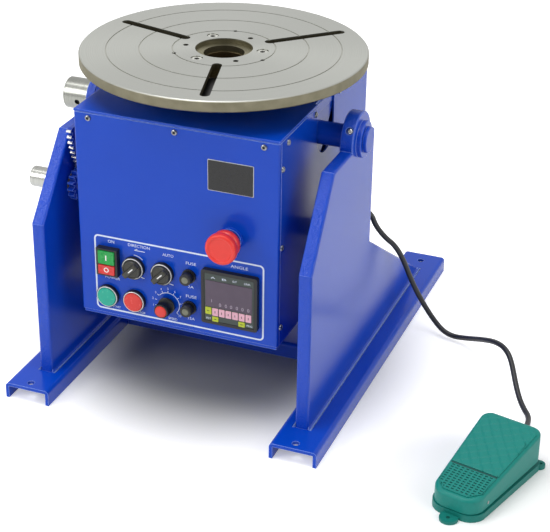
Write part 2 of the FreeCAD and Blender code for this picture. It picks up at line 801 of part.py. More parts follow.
# ---------------------------------------------------------------- spindle and table
def spindle_housing():
    barrel = rod_z(housing_radius, housing_bottom_z, housing_top_z, 0, table_y)
    flange = rod_z(housing_flange_diameter / 2, lid_top_z, lid_top_z + housing_flange_thickness, 0, table_y)
    shape = barrel.fuse(flange)
    seat_top = rod_z(bearing_outer_diameter / 2, upper_bearing_top - bearing_width, housing_top_z + 1, 0, table_y)
    seat_low = rod_z(bearing_outer_diameter / 2, housing_bottom_z - 1, lower_bearing_top, 0, table_y)
    middle = rod_z(bearing_outer_diameter / 2 - 4, lower_bearing_top - 1,
                   upper_bearing_top - bearing_width + 1, 0, table_y)
    return shape.cut([seat_top, seat_low, middle]).removeSplitter()


def bearing_outer_rings():
    """The balls and cage that run between the two rings are left out."""
    radius = bearing_outer_diameter / 2
    tops = (upper_bearing_top, lower_bearing_top)
    return Part.Compound([bearing_ring(z, radius, radius - bearing_ring_wall) for z in tops])


def bearing_inner_rings():
    radius = spindle_diameter / 2
    tops = (upper_bearing_top, lower_bearing_top)
    return Part.Compound([bearing_ring(z, radius + bearing_ring_wall, radius) for z in tops])


def spindle():
    body = rod_z(spindle_diameter / 2, spindle_bottom_z, upper_bearing_top, 0, table_y)
    shoulder = rod_z(spindle_shoulder / 2, upper_bearing_top, flange_bottom_z, 0, table_y)
    flange = rod_z(spindle_flange_diameter / 2, flange_bottom_z, table_bottom_z, 0, table_y)
    shape = body.fuse([shoulder, flange])
    shape = shape.cut(rod_z(spindle_bore / 2, spindle_bottom_z - 1, table_top_z, 0, table_y))
    for degrees in table_screw_angles:
        x, y = on_circle(table_screw_circle, degrees)
        shape = shape.cut(rod_z(table_screw_shank / 2, flange_bottom_z - 1, table_bottom_z + 1, x, y))
    return shape.removeSplitter()


def spindle_nut():
    ring = rod_z(spindle_nut_diameter / 2, nut_bottom_z, housing_bottom_z, 0, table_y)
    return ring.cut(rod_z(spindle_diameter / 2, nut_bottom_z - 1, housing_bottom_z + 1, 0, table_y))


def flat_gear(teeth, centre_y, tooth_degrees, z_top):
    points = gear_outline(table_module, teeth, 0, teeth, math.radians(tooth_degrees))
    corners = [Vector(r * math.cos(a), centre_y + r * math.sin(a), z_top - gear_face) for r, a in points]
    return Part.Face(Part.makePolygon(corners + corners[:1])).extrude(Vector(0, 0, gear_face))


def spindle_gear():
    gear = flat_gear(spindle_gear_teeth, table_y, 90, gear_top_z)
    return gear.cut(rod_z(spindle_diameter / 2, spindle_bottom_z - 1, gear_top_z + 1, 0, table_y))


def drive_pinion():
    """Pinion cut on the end of the gear motor's output shaft."""
    gear = flat_gear(drive_pinion_teeth, drive_axis_y, 270 + 180.0 / drive_pinion_teeth, gear_top_z)
    shaft_end = motor_plate_top - motor_plate_thickness - motor_shaft_seat + seat_gap
    return gear.fuse(rod_z(motor_shaft_radius, shaft_end, gear_top_z, 0, drive_axis_y))


def table_slot(degrees):
    slots = []
    for width, z_low, z_high in ((slot_width, table_bottom_z - 1, table_top_z + 1),
                                 (slot_undercut_width, table_bottom_z - 1, table_bottom_z + slot_undercut_depth)):
        half = width / 2
        bar = block((slot_inner_radius, slot_outer_radius), (-half, half), (z_low, z_high))
        ends = [rod_z(half, z_low, z_high, r, 0) for r in (slot_inner_radius, slot_outer_radius)]
        slots.append(bar.fuse(ends))
    slot = slots[0].fuse(slots[1])
    slot.rotate(Vector(0, 0, 0), Vector(0, 0, 1), degrees)
    slot.translate(Vector(0, table_y, 0))
    return slot


def table():
    disc = rod_z(table_diameter / 2, table_bottom_z, table_top_z, 0, table_y)
    disc = disc.makeChamfer(table_chamfer, [edge for edge in disc.Edges if edge.BoundBox.ZLength < 0.01])
    cuts = [rod_z(table_bore / 2, table_bottom_z - 1, table_top_z + 1, 0, table_y),
            rod_z(table_recess_diameter / 2, table_top_z - table_recess_depth, table_top_z + 1, 0, table_y)]
    for diameter in groove_diameters:
        outer = rod_z((diameter + groove_width) / 2, table_top_z - groove_depth, table_top_z + 1, 0, table_y)
        inner = rod_z((diameter - groove_width) / 2, table_top_z - groove_depth - 1, table_top_z + 2, 0, table_y)
        cuts.append(outer.cut(inner))
    for degrees in slot_angles:
        cuts.append(table_slot(degrees))
    for degrees in table_screw_angles:
        x, y = on_circle(table_screw_circle, degrees)
        cuts.append(rod_z(table_screw_shank / 2, table_bottom_z - 1, table_top_z + 1, x, y))
        cuts.append(rod_z(table_screw_head / 2 + 0.75, table_top_z - table_screw_head_length - 1,
                          table_top_z + 1, x, y))
    for degrees in tapped_angles:
        cuts.append(rod_z(tapped_hole / 2, table_bottom_z - 1, table_top_z + 1, *on_circle(tapped_circle, degrees)))
    for degrees in small_angles:
        cuts.append(rod_z(small_hole / 2, table_bottom_z - 1, table_top_z + 1, *on_circle(small_circle, degrees)))
    for cut in cuts:
        disc = disc.cut(cut)
    return disc


def table_screws():
    screws = []
    for degrees in table_screw_angles:
        x, y = on_circle(table_screw_circle, degrees)
        head_z = table_top_z - table_screw_head_length - 1
        head = rod_z(table_screw_head / 2, head_z, table_top_z - 1, x, y)
        socket = Part.Face(Part.makePolygon(
            [Vector(x + 3.5 * math.cos(a), y + 3.5 * math.sin(a), table_top_z - 5)
             for a in [math.radians(60 * corner) for corner in range(7)]])).extrude(Vector(0, 0, 5))
        shank = rod_z(table_screw_shank / 2, flange_bottom_z, head_z, x, y)
        screws.append(head.cut(socket).fuse(shank))
    return Part.Compound(screws)


# ---------------------------------------------------------------- drive and electrics
def motor_plate():
    """Shelf between the rear corner posts that carries the gear motor."""
    plate = block((-head_inner_x, head_inner_x), (hanger_width / 2 + 2, rear_panel_y),
                  (motor_plate_top - motor_plate_thickness, motor_plate_top))
    plate = plate.cut(rod_z(motor_shaft_radius + 4, motor_plate_top - 20, motor_plate_top + 1, 0, drive_axis_y))
    return plate.cut(corner_posts())


def gearbox():
    half = gearbox_width / 2
    top = motor_plate_top - motor_plate_thickness
    case = block((-half, half), (drive_axis_y - half, drive_axis_y + half), (top - gearbox_height, top))
    case = round_edges(case, 8, lambda edge: edge.BoundBox.ZLength > gearbox_height - 1)
    seat = rod_z(motor_shaft_radius + running_clearance, top - motor_shaft_seat, top + 1, 0, drive_axis_y)
    return case.cut(seat)


def drive_motor():
    top = motor_plate_top - motor_plate_thickness - gearbox_height
    body = rod_z(motor_diameter / 2, top - motor_length, top, 0, drive_axis_y)
    return round_edges(body, 3, lambda edge: edge.CenterOfMass.z < top - motor_length + 0.1)


def power_supply():
    return block(supply_x, supply_y, (head_bottom_z, head_bottom_z + supply_height))


def control_board():
    low = head_bottom_z + pillar_height
    top = low + board_thickness
    board = block(board_x, board_y, (low, top))
    for x in (board_x[0] + pillar_inset, board_x[1] - pillar_inset):
        for y in (board_y[0] + pillar_inset, board_y[1] - pillar_inset):
            board = board.fuse(rod_z(pillar_radius, head_bottom_z, low, x, y))
    chips = [block(chip_x, chip_y, (top, top + chip_height)), block(relay_x, relay_y, (top, top + relay_height)),
             rod_z(capacitor_radius, top, top + capacitor_height, capacitor_x, capacitor_y)]
    return board.fuse(chips)


def mains_inlet():
    x, z = inlet_place
    flange = block((x - 25, x + 25), (head_rear_y, head_rear_y + 2), (z - 12, z + 12))
    body = block((x - 13.5, x + 13.5), (rear_panel_y - 20, head_rear_y), (z - 9.5, z + 9.5))
    inlet = flange.fuse(body)
    socket = block((x - 11, x + 11), (rear_panel_y - 14, head_rear_y + 3), (z - 7, z + 7))
    inlet = inlet.cut(socket)
    for dx in (-6, 0, 6):
        inlet = inlet.fuse(block((x + dx - 1, x + dx + 1), (rear_panel_y - 14, head_rear_y - 3), (z - 2, z + 2)))
    return inlet.removeSplitter()


# ---------------------------------------------------------------- operator panel
def device_body(x, z, stem_radius):
    """Ring, barrel and contact block of a 22 mm control, open along its middle for the moving stem."""
    ring = rod_y(bezel_radius, head_front_y - bezel_height, head_front_y, x, z)
    ring = ring.cut(rod_y(bezel_opening, head_front_y - bezel_height - 1, head_front_y + 1, x, z))
    barrel = rod_y(device_barrel, head_front_y, panel_back_y + 8, x, z)
    half = device_block / 2
    back = block((x - half, x + half), (panel_back_y + 4, panel_back_y + device_depth), (z - half, z + half))
    collar = rod_y(bezel_radius, panel_back_y, panel_back_y + 4, x, z)
    rim = rod_y(bezel_radius, head_front_y - 1.0, head_front_y, x, z)
    shape = ring.fuse([barrel, back, collar, rim])
    return shape.cut(rod_y(stem_radius + moving_gap, head_front_y - 2, panel_back_y + device_depth - 4, x, z))


def button_bodies():
    return Part.Compound([device_body(x, z, button_stem) for x, z in button_places.values()])


def selector_bodies():
    return Part.Compound([device_body(x, z, button_stem) for x, z in selector_places.values()])


def estop_body():
    x, z = estop_place
    return device_body(x, z, button_stem)


def panel_button(name):
    x, z = button_places[name]
    front = head_front_y - bezel_height - button_proud
    back = head_front_y - 1.0 - button_travel - moving_gap
    cap = rod_y(bezel_opening - moving_gap, front, back, x, z)
    cap = round_edges(cap, 1.0, lambda edge: edge.CenterOfMass.y < front + 0.1)
    stem = rod_y(button_stem, back, panel_back_y + 12, x, z)
    return cap.fuse(stem)


def panel_selector(name):
    x, z = selector_places[name]
    front = head_front_y - bezel_height - selector_height
    seat = head_front_y - 1.0 - moving_gap
    disc = rod_y(bezel_opening - moving_gap, front, seat, x, z)
    half = lever_width / 2
    lever = block((-half, half), (front - lever_height, front), (-lever_length / 2 + 1.5, lever_length / 2))
    lever = round_edges(lever, 3, lambda edge: edge.BoundBox.YLength > lever_height - 1)
    lever.rotate(Vector(0, 0, 0), Vector(0, 1, 0), 90 - lever_angle)
    lever.translate(Vector(x, 0, z))
    inside = rod_y(bezel_opening - moving_gap, front - lever_height - 1, front + 1, x, z)
    stem = rod_y(button_stem, seat, panel_back_y + 12, x, z)
    return disc.fuse([lever.common(inside), stem]).removeSplitter()


def estop_button():
    x, z = estop_place
    front = head_front_y - estop_reach
    back = front + estop_thickness
    head = rod_y(estop_radius, front, back, x, z)
    head = round_edges(head, 3, lambda edge: edge.CenterOfMass.y < front + 0.1)
    sleeve = rod_y(estop_sleeve, back, head_front_y - estop_sleeve_back, x, z)
    neck = rod_y(estop_neck, back, head_front_y - bezel_height - moving_gap - estop_travel, x, z)
    stem = rod_y(button_stem, back, panel_back_y + 12, x, z)
    return head.fuse([sleeve, neck, stem]).removeSplitter()


def speed_pot():
    x, z = speed_place
    bush = rod_y(speed_shaft_radius + 1.5, head_front_y - 4, panel_back_y, x, z)
    nut = rod_y(speed_shaft_radius + 4, head_front_y - 2.5, head_front_y, x, z)
    can = rod_y(12, panel_back_y, panel_back_y + 14, x, z)
    shape = bush.fuse([nut, can])
    return shape.cut(rod_y(speed_shaft_radius + running_clearance, head_front_y - 5, panel_back_y + 8, x, z))


def speed_knob():
    x, z = speed_place
    seat = head_front_y - 4 - moving_gap
    front = seat - speed_knob_length
    knob = Part.makeCone(speed_knob_radius - 1.5, speed_knob_radius, speed_knob_length, Vector(x, front, z), Vector(0, 1, 0))
    shaft = rod_y(speed_shaft_radius, seat, panel_back_y + 7, x, z)
    return knob.fuse(shaft)


def power_switch_body():
    x, z = power_place
    width, height = power_face
    rim = block((x - width / 2, x + width / 2), (head_front_y - power_proud, head_front_y),
                (z - height / 2, z + height / 2))
    hole_width, hole_height = power_cutout()
    back = block((x - hole_width / 2, x + hole_width / 2), (head_front_y, panel_back_y + power_depth),
                 (z - hole_height / 2, z + hole_height / 2))
    shape = rim.fuse(back)
    for name in power_key_spans:
        shape = shape.cut(power_key_block(name, moving_gap, power_key_travel + moving_gap))
    return shape


def power_key_block(name, margin, extra_depth):
    """Key, or with a margin the opening in which it slides."""
    x = power_place[0]
    low, high = power_key_spans[name]
    front = head_front_y - power_proud - power_key_proud - margin
    back = head_front_y + 6.0 + extra_depth
    half = power_key_width / 2 + margin
    return block((x - half, x + half), (front, back), (low - margin, high + margin))


def fuse_holders():
    bodies = []
    for x, z in fuse_places:
        flange = rod_y(fuse_flange_radius, head_front_y - 2.5, head_front_y, x, z)
        cap = rod_y(fuse_cap_radius, head_front_y - 2.5 - fuse_cap_height, head_front_y - 2.5, x, z)
        back = rod_y(fuse_body_radius, head_front_y, head_front_y + fuse_body_length, x, z)
        bodies.append(flange.fuse([cap, back]))
    return Part.Compound(bodies)


def counter():
    x, z = counter_place
    half = counter_face / 2
    rim = block((x - half, x + half), (head_front_y - counter_proud, head_front_y), (z - half, z + half))
    rim = round_edges(rim, 3, lambda edge: edge.BoundBox.YLength > counter_proud - 0.1)
    inner = half - counter_rim
    window = block((x - inner, x + inner), (head_front_y - counter_proud - 1,
                                            head_front_y - counter_proud + counter_window_depth),
                   (z - inner, z + inner))
    body_half = counter_body / 2
    body = block((x - body_half, x + body_half), (head_front_y, head_front_y + counter_depth),
                 (z - body_half, z + body_half))
    return rim.cut(window).fuse(body)


# ---------------------------------------------------------------- foot pedal
def pedal_place(shape):
    """Moves a shape from the pedal's own frame to its place on the floor."""
    shape = shape.copy()
    shape.rotate(Vector(0, 0, 0), Vector(0, 0, 1), pedal_yaw)
    shape.translate(Vector(*pedal_origin, 0))
    return shape


def pedal_half(s):
    share = (s - pedal_toe_s) / (pedal_heel_s - pedal_toe_s)
    return pedal_front_half + (pedal_rear_half - pedal_front_half) * share


def pedal_block(front_s, rear_s, margin, z_low, z_high):
    """Tapered block of the pedal's plan, wider than the treadle by margin on each side."""
    corners = [(front_s, -pedal_half(front_s) - margin), (rear_s, -pedal_half(rear_s) - margin),
               (rear_s, pedal_half(rear_s) + margin), (front_s, pedal_half(front_s) + margin)]
    return prism([(s, n, z_low) for s, n in corners], Vector(0, 0, z_high - z_low))


def round_corners(shape, toe_radius, heel_radius):
    """Rounds the upright corner edges, the toe's and the heel's each with their own radius."""
    middle = (pedal_toe_s + pedal_heel_s) / 2

    def upright(edge):
        return edge.BoundBox.ZLength > 5 and edge.BoundBox.XLength < 2 and edge.BoundBox.YLength < 2

    shape = round_edges(shape, toe_radius, lambda edge: upright(edge) and edge.CenterOfMass.x < middle)
    return round_edges(shape, heel_radius, lambda edge: upright(edge) and edge.CenterOfMass.x > middle
                       and abs(edge.CenterOfMass.y) > pedal_front_half)


def pin_rod(radius, half_length):
    return Part.makeCylinder(radius, 2 * half_length, Vector(pedal_pin_s, -half_length, pedal_pin_z), Vector(0, 1, 0))


def pedal_base():
    base = pedal_block(pedal_toe_s - 1, pedal_heel_s + 1, pedal_base_lip, 0, pedal_base_height)
    base = round_corners(base, pedal_toe_round, pedal_heel_round)
    for s, n, radius, hole_s, hole_n, hole_radius in pedal_ears:
        base = base.fuse(rod_z(radius, 0, pedal_ear_thickness, s, n))
    wall = pedal_base_wall
    hollow = pedal_block(pedal_toe_s + wall, pedal_heel_s - wall, -wall, pedal_floor, pedal_base_height + 1)
    base = base.cut(round_corners(hollow, pedal_toe_round - wall, pedal_heel_round - wall))
    for s, n, radius, hole_s, hole_n, hole_radius in pedal_ears:
        base = base.cut(rod_z(hole_radius, -1, pedal_base_height + 1, hole_s, hole_n))
    lug_n = pedal_half(pedal_pin_s) - treadle_wall - seat_gap
    lugs = []
    for low in (-lug_n, lug_n - pedal_lug_width):
        lugs.append(block((pedal_pin_s - 5, pedal_pin_s + 5), (low, low + pedal_lug_width),
                          (pedal_floor, pedal_pin_z + 4)))
    heel = block((pedal_heel_s - wall, pedal_heel_s + 1), (-12, 12), (pedal_floor, pedal_gland_z + cable_diameter))
    base = base.fuse(lugs + [heel])
    return pedal_place(base.cut(pin_rod(pedal_pin_radius, 60)).removeSplitter())


def treadle_solid(front_s, rear_s, inset):
    """Wedge between the sloping tread and the sloping lower edge, drawn in by inset on the sides and the top."""
    solid = pedal_block(front_s, rear_s, -inset, 0, treadle_rear_z + 5)
    length = pedal_heel_s - pedal_toe_s
    over = 20.0
    corners = []
    for toe_z, heel_z, drop in ((pedal_base_height + treadle_gap_toe, pedal_base_height + treadle_gap_heel, inset),
                                (treadle_front_z, treadle_rear_z, inset)):
        rise = (heel_z - toe_z) / length * over
        ends = [(pedal_toe_s - over, toe_z - rise - drop), (pedal_heel_s + over, heel_z + rise - drop)]
        corners += ends if not corners else ends[::-1]
    return solid.common(prism([(s, -60, z) for s, z in corners], Vector(0, 120, 0)))


def pedal_treadle():
    outer = round_corners(treadle_solid(pedal_toe_s, pedal_heel_s, 0), pedal_toe_round - 1, pedal_heel_round - 1)
    outer = round_edges(outer, pedal_top_round, lambda edge: edge.CenterOfMass.z > treadle_front_z - 0.5)
    inner = treadle_solid(pedal_toe_s + treadle_wall, pedal_heel_s + 10, treadle_wall)
    inner = round_corners(inner, pedal_toe_round - 1 - treadle_wall, 1)
    return pedal_place(outer.cut(inner).cut(pin_rod(pedal_pin_radius + running_clearance, 60)))


def pedal_pin():
    return pedal_place(pin_rod(pedal_pin_radius, pedal_half(pedal_pin_s) + 0.3))


# ---------------------------------------------------------------- pedal cable
def pedal_mouth():
    """Where the cable meets the pedal's heel, and the way the heel faces."""
    turn = FreeCAD.Rotation(Vector(0, 0, 1), pedal_yaw)
    mouth = turn.multVec(Vector(pedal_heel_s + 1, 0, pedal_gland_z)) + Vector(*pedal_origin, 0)
    return mouth, turn.multVec(Vector(1, 0, 0))


def cable_points():
    mouth, heel_way = pedal_mouth()
    return [Vector(*cable_start)] + [Vector(*point) for point in cable_route] + [mouth + heel_way * 22, mouth]


def cable_wire():
    """Straight runs joined by tangent arcs, and the arcs' radii."""
    points = cable_points()
    edges, radii = [], []
    start = points[0]
    for before, corner, after in zip(points, points[1:], points[2:]):
        to_before = (before - corner).normalize()
        to_after = (after - corner).normalize()
        half_turn = (math.pi - to_before.getAngle(to_after)) / 2
        shorter = min((before - corner).Length, (after - corner).Length)
        cut_back = 0.45 * shorter
        radius = cut_back / math.tan(half_turn)
        arc_start = corner + to_before * cut_back
        arc_end = corner + to_after * cut_back
        middle_way = (to_before + to_after).normalize()
        arc_middle = corner + middle_way * (radius / math.cos(half_turn) - radius)
        edges.append(Part.LineSegment(start, arc_start).toShape())
        edges.append(Part.Arc(arc_start, arc_middle, arc_end).toShape())
        radii.append(radius)
        start = arc_end
    edges.append(Part.LineSegment(start, points[-1]).toShape())
    return Part.Wire(edges), radii


def pedal_cable():
    wire, radii = cable_wire()
    print("cable bend radii", [round(radius) for radius in radii], "length", round(wire.Length))
    first = cable_points()
    profile = Part.Wire(Part.makeCircle(cable_diameter / 2, first[0], first[1] - first[0]))
    tube = wire.makePipeShell([profile], True, True)
    expected = math.pi * cable_diameter ** 2 / 4 * wire.Length
    print("cable volume over section times length", round(tube.Volume / expected, 4))
    return tube


def gland_bracket():
    x, y, z = cable_start
    face_y = y - gland_length
    plate = block((x - gland_radius - 4, post_inner_x), (face_y - bracket_thickness, face_y),
                  (z - gland_radius - 5, z + gland_radius + 5))
    foot = block((post_inner_x - bracket_thickness, post_inner_x), (face_y - 25, face_y),
                 (z - gland_radius - 5, z + gland_radius + 5))
    bracket = plate.fuse(foot)
    return bracket.cut(rod_y(5, face_y - bracket_thickness - 1, face_y + 1, x, z)).removeSplitter()


def cable_gland():
    x, y, z = cable_start
    face_y = y - gland_length
    hexagon = Part.Face(Part.makePolygon(
        [Vector(x + gland_radius * math.cos(a), face_y, z + gland_radius * math.sin(a))
         for a in [math.radians(60 * corner) for corner in range(7)]])).extrude(Vector(0, 6, 0))
    dome = Part.makeCone(gland_radius - 1, cable_diameter / 2 + 1.2, gland_length - 6, Vector(x, face_y + 6, z),
                         Vector(0, 1, 0))
    tail = rod_y(5, face_y - bracket_thickness - 6, face_y, x, z)
    nut = rod_y(gland_radius, face_y - bracket_thickness - 4, face_y - bracket_thickness, x, z)
    return hexagon.fuse([dome, tail, nut])


# ---------------------------------------------------------------- pieces and files
pieces = {
    "left_foot": lambda: mirrored(right_foot()),
    "right_foot": right_foot,
    "cross_channel": cross_channel,
    "left_post": left_post,
    "right_post": right_post,
    "trunnion_bushes": trunnion_bushes,
    "eye_screw": eye_screw,
    "crank_bush": crank_bush,
    "tilt_crank_shaft": tilt_crank_shaft,
    "tilt_pinion": tilt_pinion,
    "tilt_sector": tilt_sector,
    "left_trunnion": left_trunnion,
    "right_trunnion": right_trunnion,
    "trunnion_cap": trunnion_cap,
    "trunnion_collar": trunnion_collar,
    "collar_screw": collar_screw,
    "trunnion_hangers": trunnion_hangers,
    "front_panel": front_panel,
    "rear_panel": rear_panel,
    "left_side_panel": lambda: mirrored(side_panel()),
    "right_side_panel": side_panel,
    "top_plate": top_plate,
    "bottom_plate": bottom_plate,
    "corner_posts": corner_posts,
    "panel_screws": panel_screws,
    "spindle_housing": spindle_housing,
    "bearing_outer_rings": bearing_outer_rings,
    "bearing_inner_rings": bearing_inner_rings,
    "spindle": spindle,
    "spindle_nut": spindle_nut,
    "spindle_gear": spindle_gear,
    "drive_pinion": drive_pinion,
    "table": table,
    "table_screws": table_screws,
    "motor_plate": motor_plate,
    "gearbox": gearbox,
    "drive_motor": drive_motor,
    "power_supply": power_supply,
    "control_board": control_board,
    "mains_inlet": mains_inlet,
    "button_bodies": button_bodies,
    "selector_bodies": selector_bodies,
    "estop_body": estop_body,
    "start_button": lambda: panel_button("start_button"),
    "stop_button": lambda: panel_button("stop_button"),
    "direction_selector": lambda: panel_selector("direction_selector"),
    "mode_selector": lambda: panel_selector("mode_selector"),
    "estop_button": estop_button,
    "speed_pot": speed_pot,
    "speed_knob": speed_knob,
    "power_switch_body": power_switch_body,
    "power_on_key": lambda: power_key_block("power_on_key", 0, 0),
    "power_off_key": lambda: power_key_block("power_off_key", 0, 0),
    "fuse_holders": fuse_holders,
    "counter": counter,
    "pedal_base": pedal_base,
    "pedal_treadle": pedal_treadle,
    "pedal_pin": pedal_pin,
    "pedal_cable": pedal_cable,
    "cable_gland": lambda: Part.Compound([gland_bracket(), cable_gland()]),
}

to_table_centre = Vector(0, -table_y, -table_top_z)
os.makedirs("parts", exist_ok=True)
for name, make in pieces.items():
    shape = make().copy()
    shape.translate(to_table_centre)
    if not shape.isValid() or shape.Volume <= 0:
        print("check", name, "valid", shape.isValid(), "volume", shape.Volume)
    shape.exportStep("parts/" + name + ".step")
print(len(pieces), "pieces")
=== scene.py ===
import json
import math

import bpy
from mathutils import Matrix, Vector


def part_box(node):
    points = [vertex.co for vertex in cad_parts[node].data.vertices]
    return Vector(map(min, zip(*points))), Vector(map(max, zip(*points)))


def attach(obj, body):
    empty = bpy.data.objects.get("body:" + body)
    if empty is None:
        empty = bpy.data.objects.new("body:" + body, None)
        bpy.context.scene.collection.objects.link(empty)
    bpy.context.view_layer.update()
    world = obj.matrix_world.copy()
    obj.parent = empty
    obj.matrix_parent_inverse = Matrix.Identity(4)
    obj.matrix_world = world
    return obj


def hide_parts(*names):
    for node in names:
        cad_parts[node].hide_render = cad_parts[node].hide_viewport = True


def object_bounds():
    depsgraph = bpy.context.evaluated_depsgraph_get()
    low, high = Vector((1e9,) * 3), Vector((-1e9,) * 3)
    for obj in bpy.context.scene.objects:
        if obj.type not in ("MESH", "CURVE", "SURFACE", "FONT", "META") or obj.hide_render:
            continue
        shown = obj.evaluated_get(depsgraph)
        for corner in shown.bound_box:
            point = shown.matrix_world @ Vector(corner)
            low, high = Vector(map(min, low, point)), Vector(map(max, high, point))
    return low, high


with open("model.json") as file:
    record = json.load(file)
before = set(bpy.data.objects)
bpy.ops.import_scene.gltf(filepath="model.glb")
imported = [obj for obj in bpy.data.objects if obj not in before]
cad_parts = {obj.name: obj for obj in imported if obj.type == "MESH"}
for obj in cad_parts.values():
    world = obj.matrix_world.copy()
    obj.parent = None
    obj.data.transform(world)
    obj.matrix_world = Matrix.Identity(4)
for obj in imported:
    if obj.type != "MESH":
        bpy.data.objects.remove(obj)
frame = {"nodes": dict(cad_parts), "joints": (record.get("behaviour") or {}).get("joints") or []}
cad_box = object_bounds()

# ---- Camera -------------------------------------------------------------------------------
# A long lens from the front right, looking down on the table.
camera_place = Vector((0.7142, -1.6759, 0.6541))
camera_yaw, camera_pitch, camera_roll = 0.36710, 0.48107, 0.01380
camera_data = bpy.data.cameras.new("camera")
camera_data.lens = 103.9
camera_data.sensor_width = 36.0
camera_data.clip_end = 50.0
camera = bpy.data.objects.new("camera", camera_data)
bpy.context.collection.objects.link(camera)
camera.matrix_world = (
    Matrix.Translation(camera_place)
    @ Matrix.Rotation(camera_yaw, 4, "Z")
    @ Matrix.Rotation(math.pi / 2 - camera_pitch, 4, "X")
    @ Matrix.Rotation(camera_roll, 4, "Z")
)
bpy.context.scene.camera = camera
bpy.context.scene.view_settings.view_transform = "Standard"


# ---- Studio floor and light ---------------------------------------------------------------
# A white floor in a white room, lit by three soft boxes. The room behind the camera is dim,
# which gives round bright metal its dark bands. Away from the machine the floor glows pure
# white to the camera; near the machine and the pedal the glow fades, and round the machine
# the floor's colour is painted grey as shade.
def linear(hex_colour):
    """An sRGB hex colour as the linear red, green, blue and alpha that the shaders take."""
    channels = [int(hex_colour[i : i + 2], 16) / 255 for i in (1, 3, 5)]
    return [c / 12.92 if c <= 0.04045 else ((c + 0.055) / 1.055) ** 2.4 for c in channels] + [1.0]


def fill(node, inputs):
    """Sets a node's inputs: a value is written in, and another node's output is linked in."""
    for name, value in inputs.items():
        if isinstance(value, bpy.types.NodeSocket):
            node.id_data.links.new(value, node.inputs[name])
        else:
            node.inputs[name].default_value = value


def add_node(owner, kind, settings=None, inputs=None):
    """Adds one node with its settings and inputs to a material or a world."""
    node = owner.node_tree.nodes.new(kind)
    for name, value in (settings or {}).items():
        setattr(node, name, value)
    fill(node, inputs or {})
    return node


def shader_of(material):
    """A material's Principled shader."""
    return material.node_tree.nodes["Principled BSDF"]


def new_material(name):
    """A material whose Principled shader is linked to its output."""
    material = bpy.data.materials.new(name)
    material.use_nodes = True
    return material


floor_z = cad_box[0][2]
bpy.ops.object.select_all(action="DESELECT")
bpy.ops.mesh.primitive_plane_add(size=14, location=(0, 0, floor_z))
floor = bpy.context.object
floor.name = "studio_floor"
bpy.ops.object.transform_apply()
floor_white = new_material("floor_white")
floor_coords = add_node(floor_white, "ShaderNodeTexCoord")
flat = add_node(floor_white, "ShaderNodeVectorMath", {"operation": "MULTIPLY"},
                {0: floor_coords.outputs["Object"], 1: (1, 1, 0)})
from_machine = add_node(floor_white, "ShaderNodeVectorMath", {"operation": "LENGTH"},
                        {0: flat.outputs[0]})
pedal_middle = (0.39, -0.19, 0)
glow = add_node(floor_white, "ShaderNodeMapRange", {"interpolation_type": "SMOOTHSTEP"},
                {"Value": from_machine.outputs["Value"], "From Min": 0.1, "From Max": 0.36,
                 "To Max": 0.55})
from_pedal = add_node(floor_white, "ShaderNodeVectorMath", {"operation": "DISTANCE"},
                      {0: flat.outputs[0], 1: pedal_middle})
beside_pedal = add_node(floor_white, "ShaderNodeMapRange", {"interpolation_type": "SMOOTHSTEP"},
                        {"Value": from_pedal.outputs["Value"], "From Min": 0.09, "From Max": 0.2,
                         "To Min": 0.1})
open_floor = add_node(floor_white, "ShaderNodeMath", {"operation": "MULTIPLY"},
                      {0: glow.outputs[0], 1: beside_pedal.outputs[0]})
floor_ray = add_node(floor_white, "ShaderNodeLightPath")
shown = add_node(floor_white, "ShaderNodeMath", {"operation": "MULTIPLY"},
                 {0: open_floor.outputs[0], 1: floor_ray.outputs["Is Camera Ray"]})
mirrored = add_node(floor_white, "ShaderNodeMath", {"operation": "MULTIPLY_ADD"},
                    {0: floor_ray.outputs["Is Glossy Ray"], 1: 0.25, 2: shown.outputs[0]})
# Round the machine the floor's own colour turns grey: painted shade under and beside it.
shade = add_node(floor_white, "ShaderNodeMapRange", {"interpolation_type": "SMOOTHSTEP"},
                 {"Value": from_machine.outputs["Value"], "From Min": 0.1, "From Max": 0.3})
floor_tone_with_painted_shade = add_node(floor_white, "ShaderNodeMix", {"data_type": "RGBA"},
                      {"Factor": shade.outputs[0], 6: linear("#9C9C98"), 7: linear("#FAFAFA")})
fill(shader_of(floor_white),
     {"Base Color": floor_tone_with_painted_shade.outputs[2], "Roughness": 0.9, "Specular IOR Level": 0.2,
      "Emission Color": (1, 1, 1, 1), "Emission Strength": mirrored.outputs[0]})
floor.data.materials.append(floor_white)

world = bpy.data.worlds.new("studio")
world.use_nodes = True
bpy.context.scene.world = world
room_way = add_node(world, "ShaderNodeTexCoord")
way_to_camera = (0.16, -0.94, 0.3)
behind_camera = add_node(world, "ShaderNodeVectorMath", {"operation": "DOT_PRODUCT"},
                         {0: room_way.outputs["Generated"], 1: way_to_camera})
dim = add_node(world, "ShaderNodeMapRange", {"interpolation_type": "SMOOTHSTEP"},
               {"Value": behind_camera.outputs["Value"], "From Min": 0.72, "From Max": 0.97,
                "To Min": 0.8, "To Max": 0.1})
room_ray = add_node(world, "ShaderNodeLightPath")
gloss = add_node(world, "ShaderNodeMath", {"operation": "MAXIMUM"},
                 {0: room_ray.outputs["Is Glossy Ray"], 1: room_ray.outputs["Is Transmission Ray"]})
room = add_node(world, "ShaderNodeMapRange", None,
                {"Value": gloss.outputs[0], "To Min": 0.44, "To Max": dim.outputs[0]})
seen = add_node(world, "ShaderNodeMapRange", None,
                {"Value": room_ray.outputs["Is Camera Ray"], "To Min": room.outputs[0], "To Max": 1.0})
fill(world.node_tree.nodes["Background"], {"Color": (1, 1, 1, 1), "Strength": seen.outputs[0]})


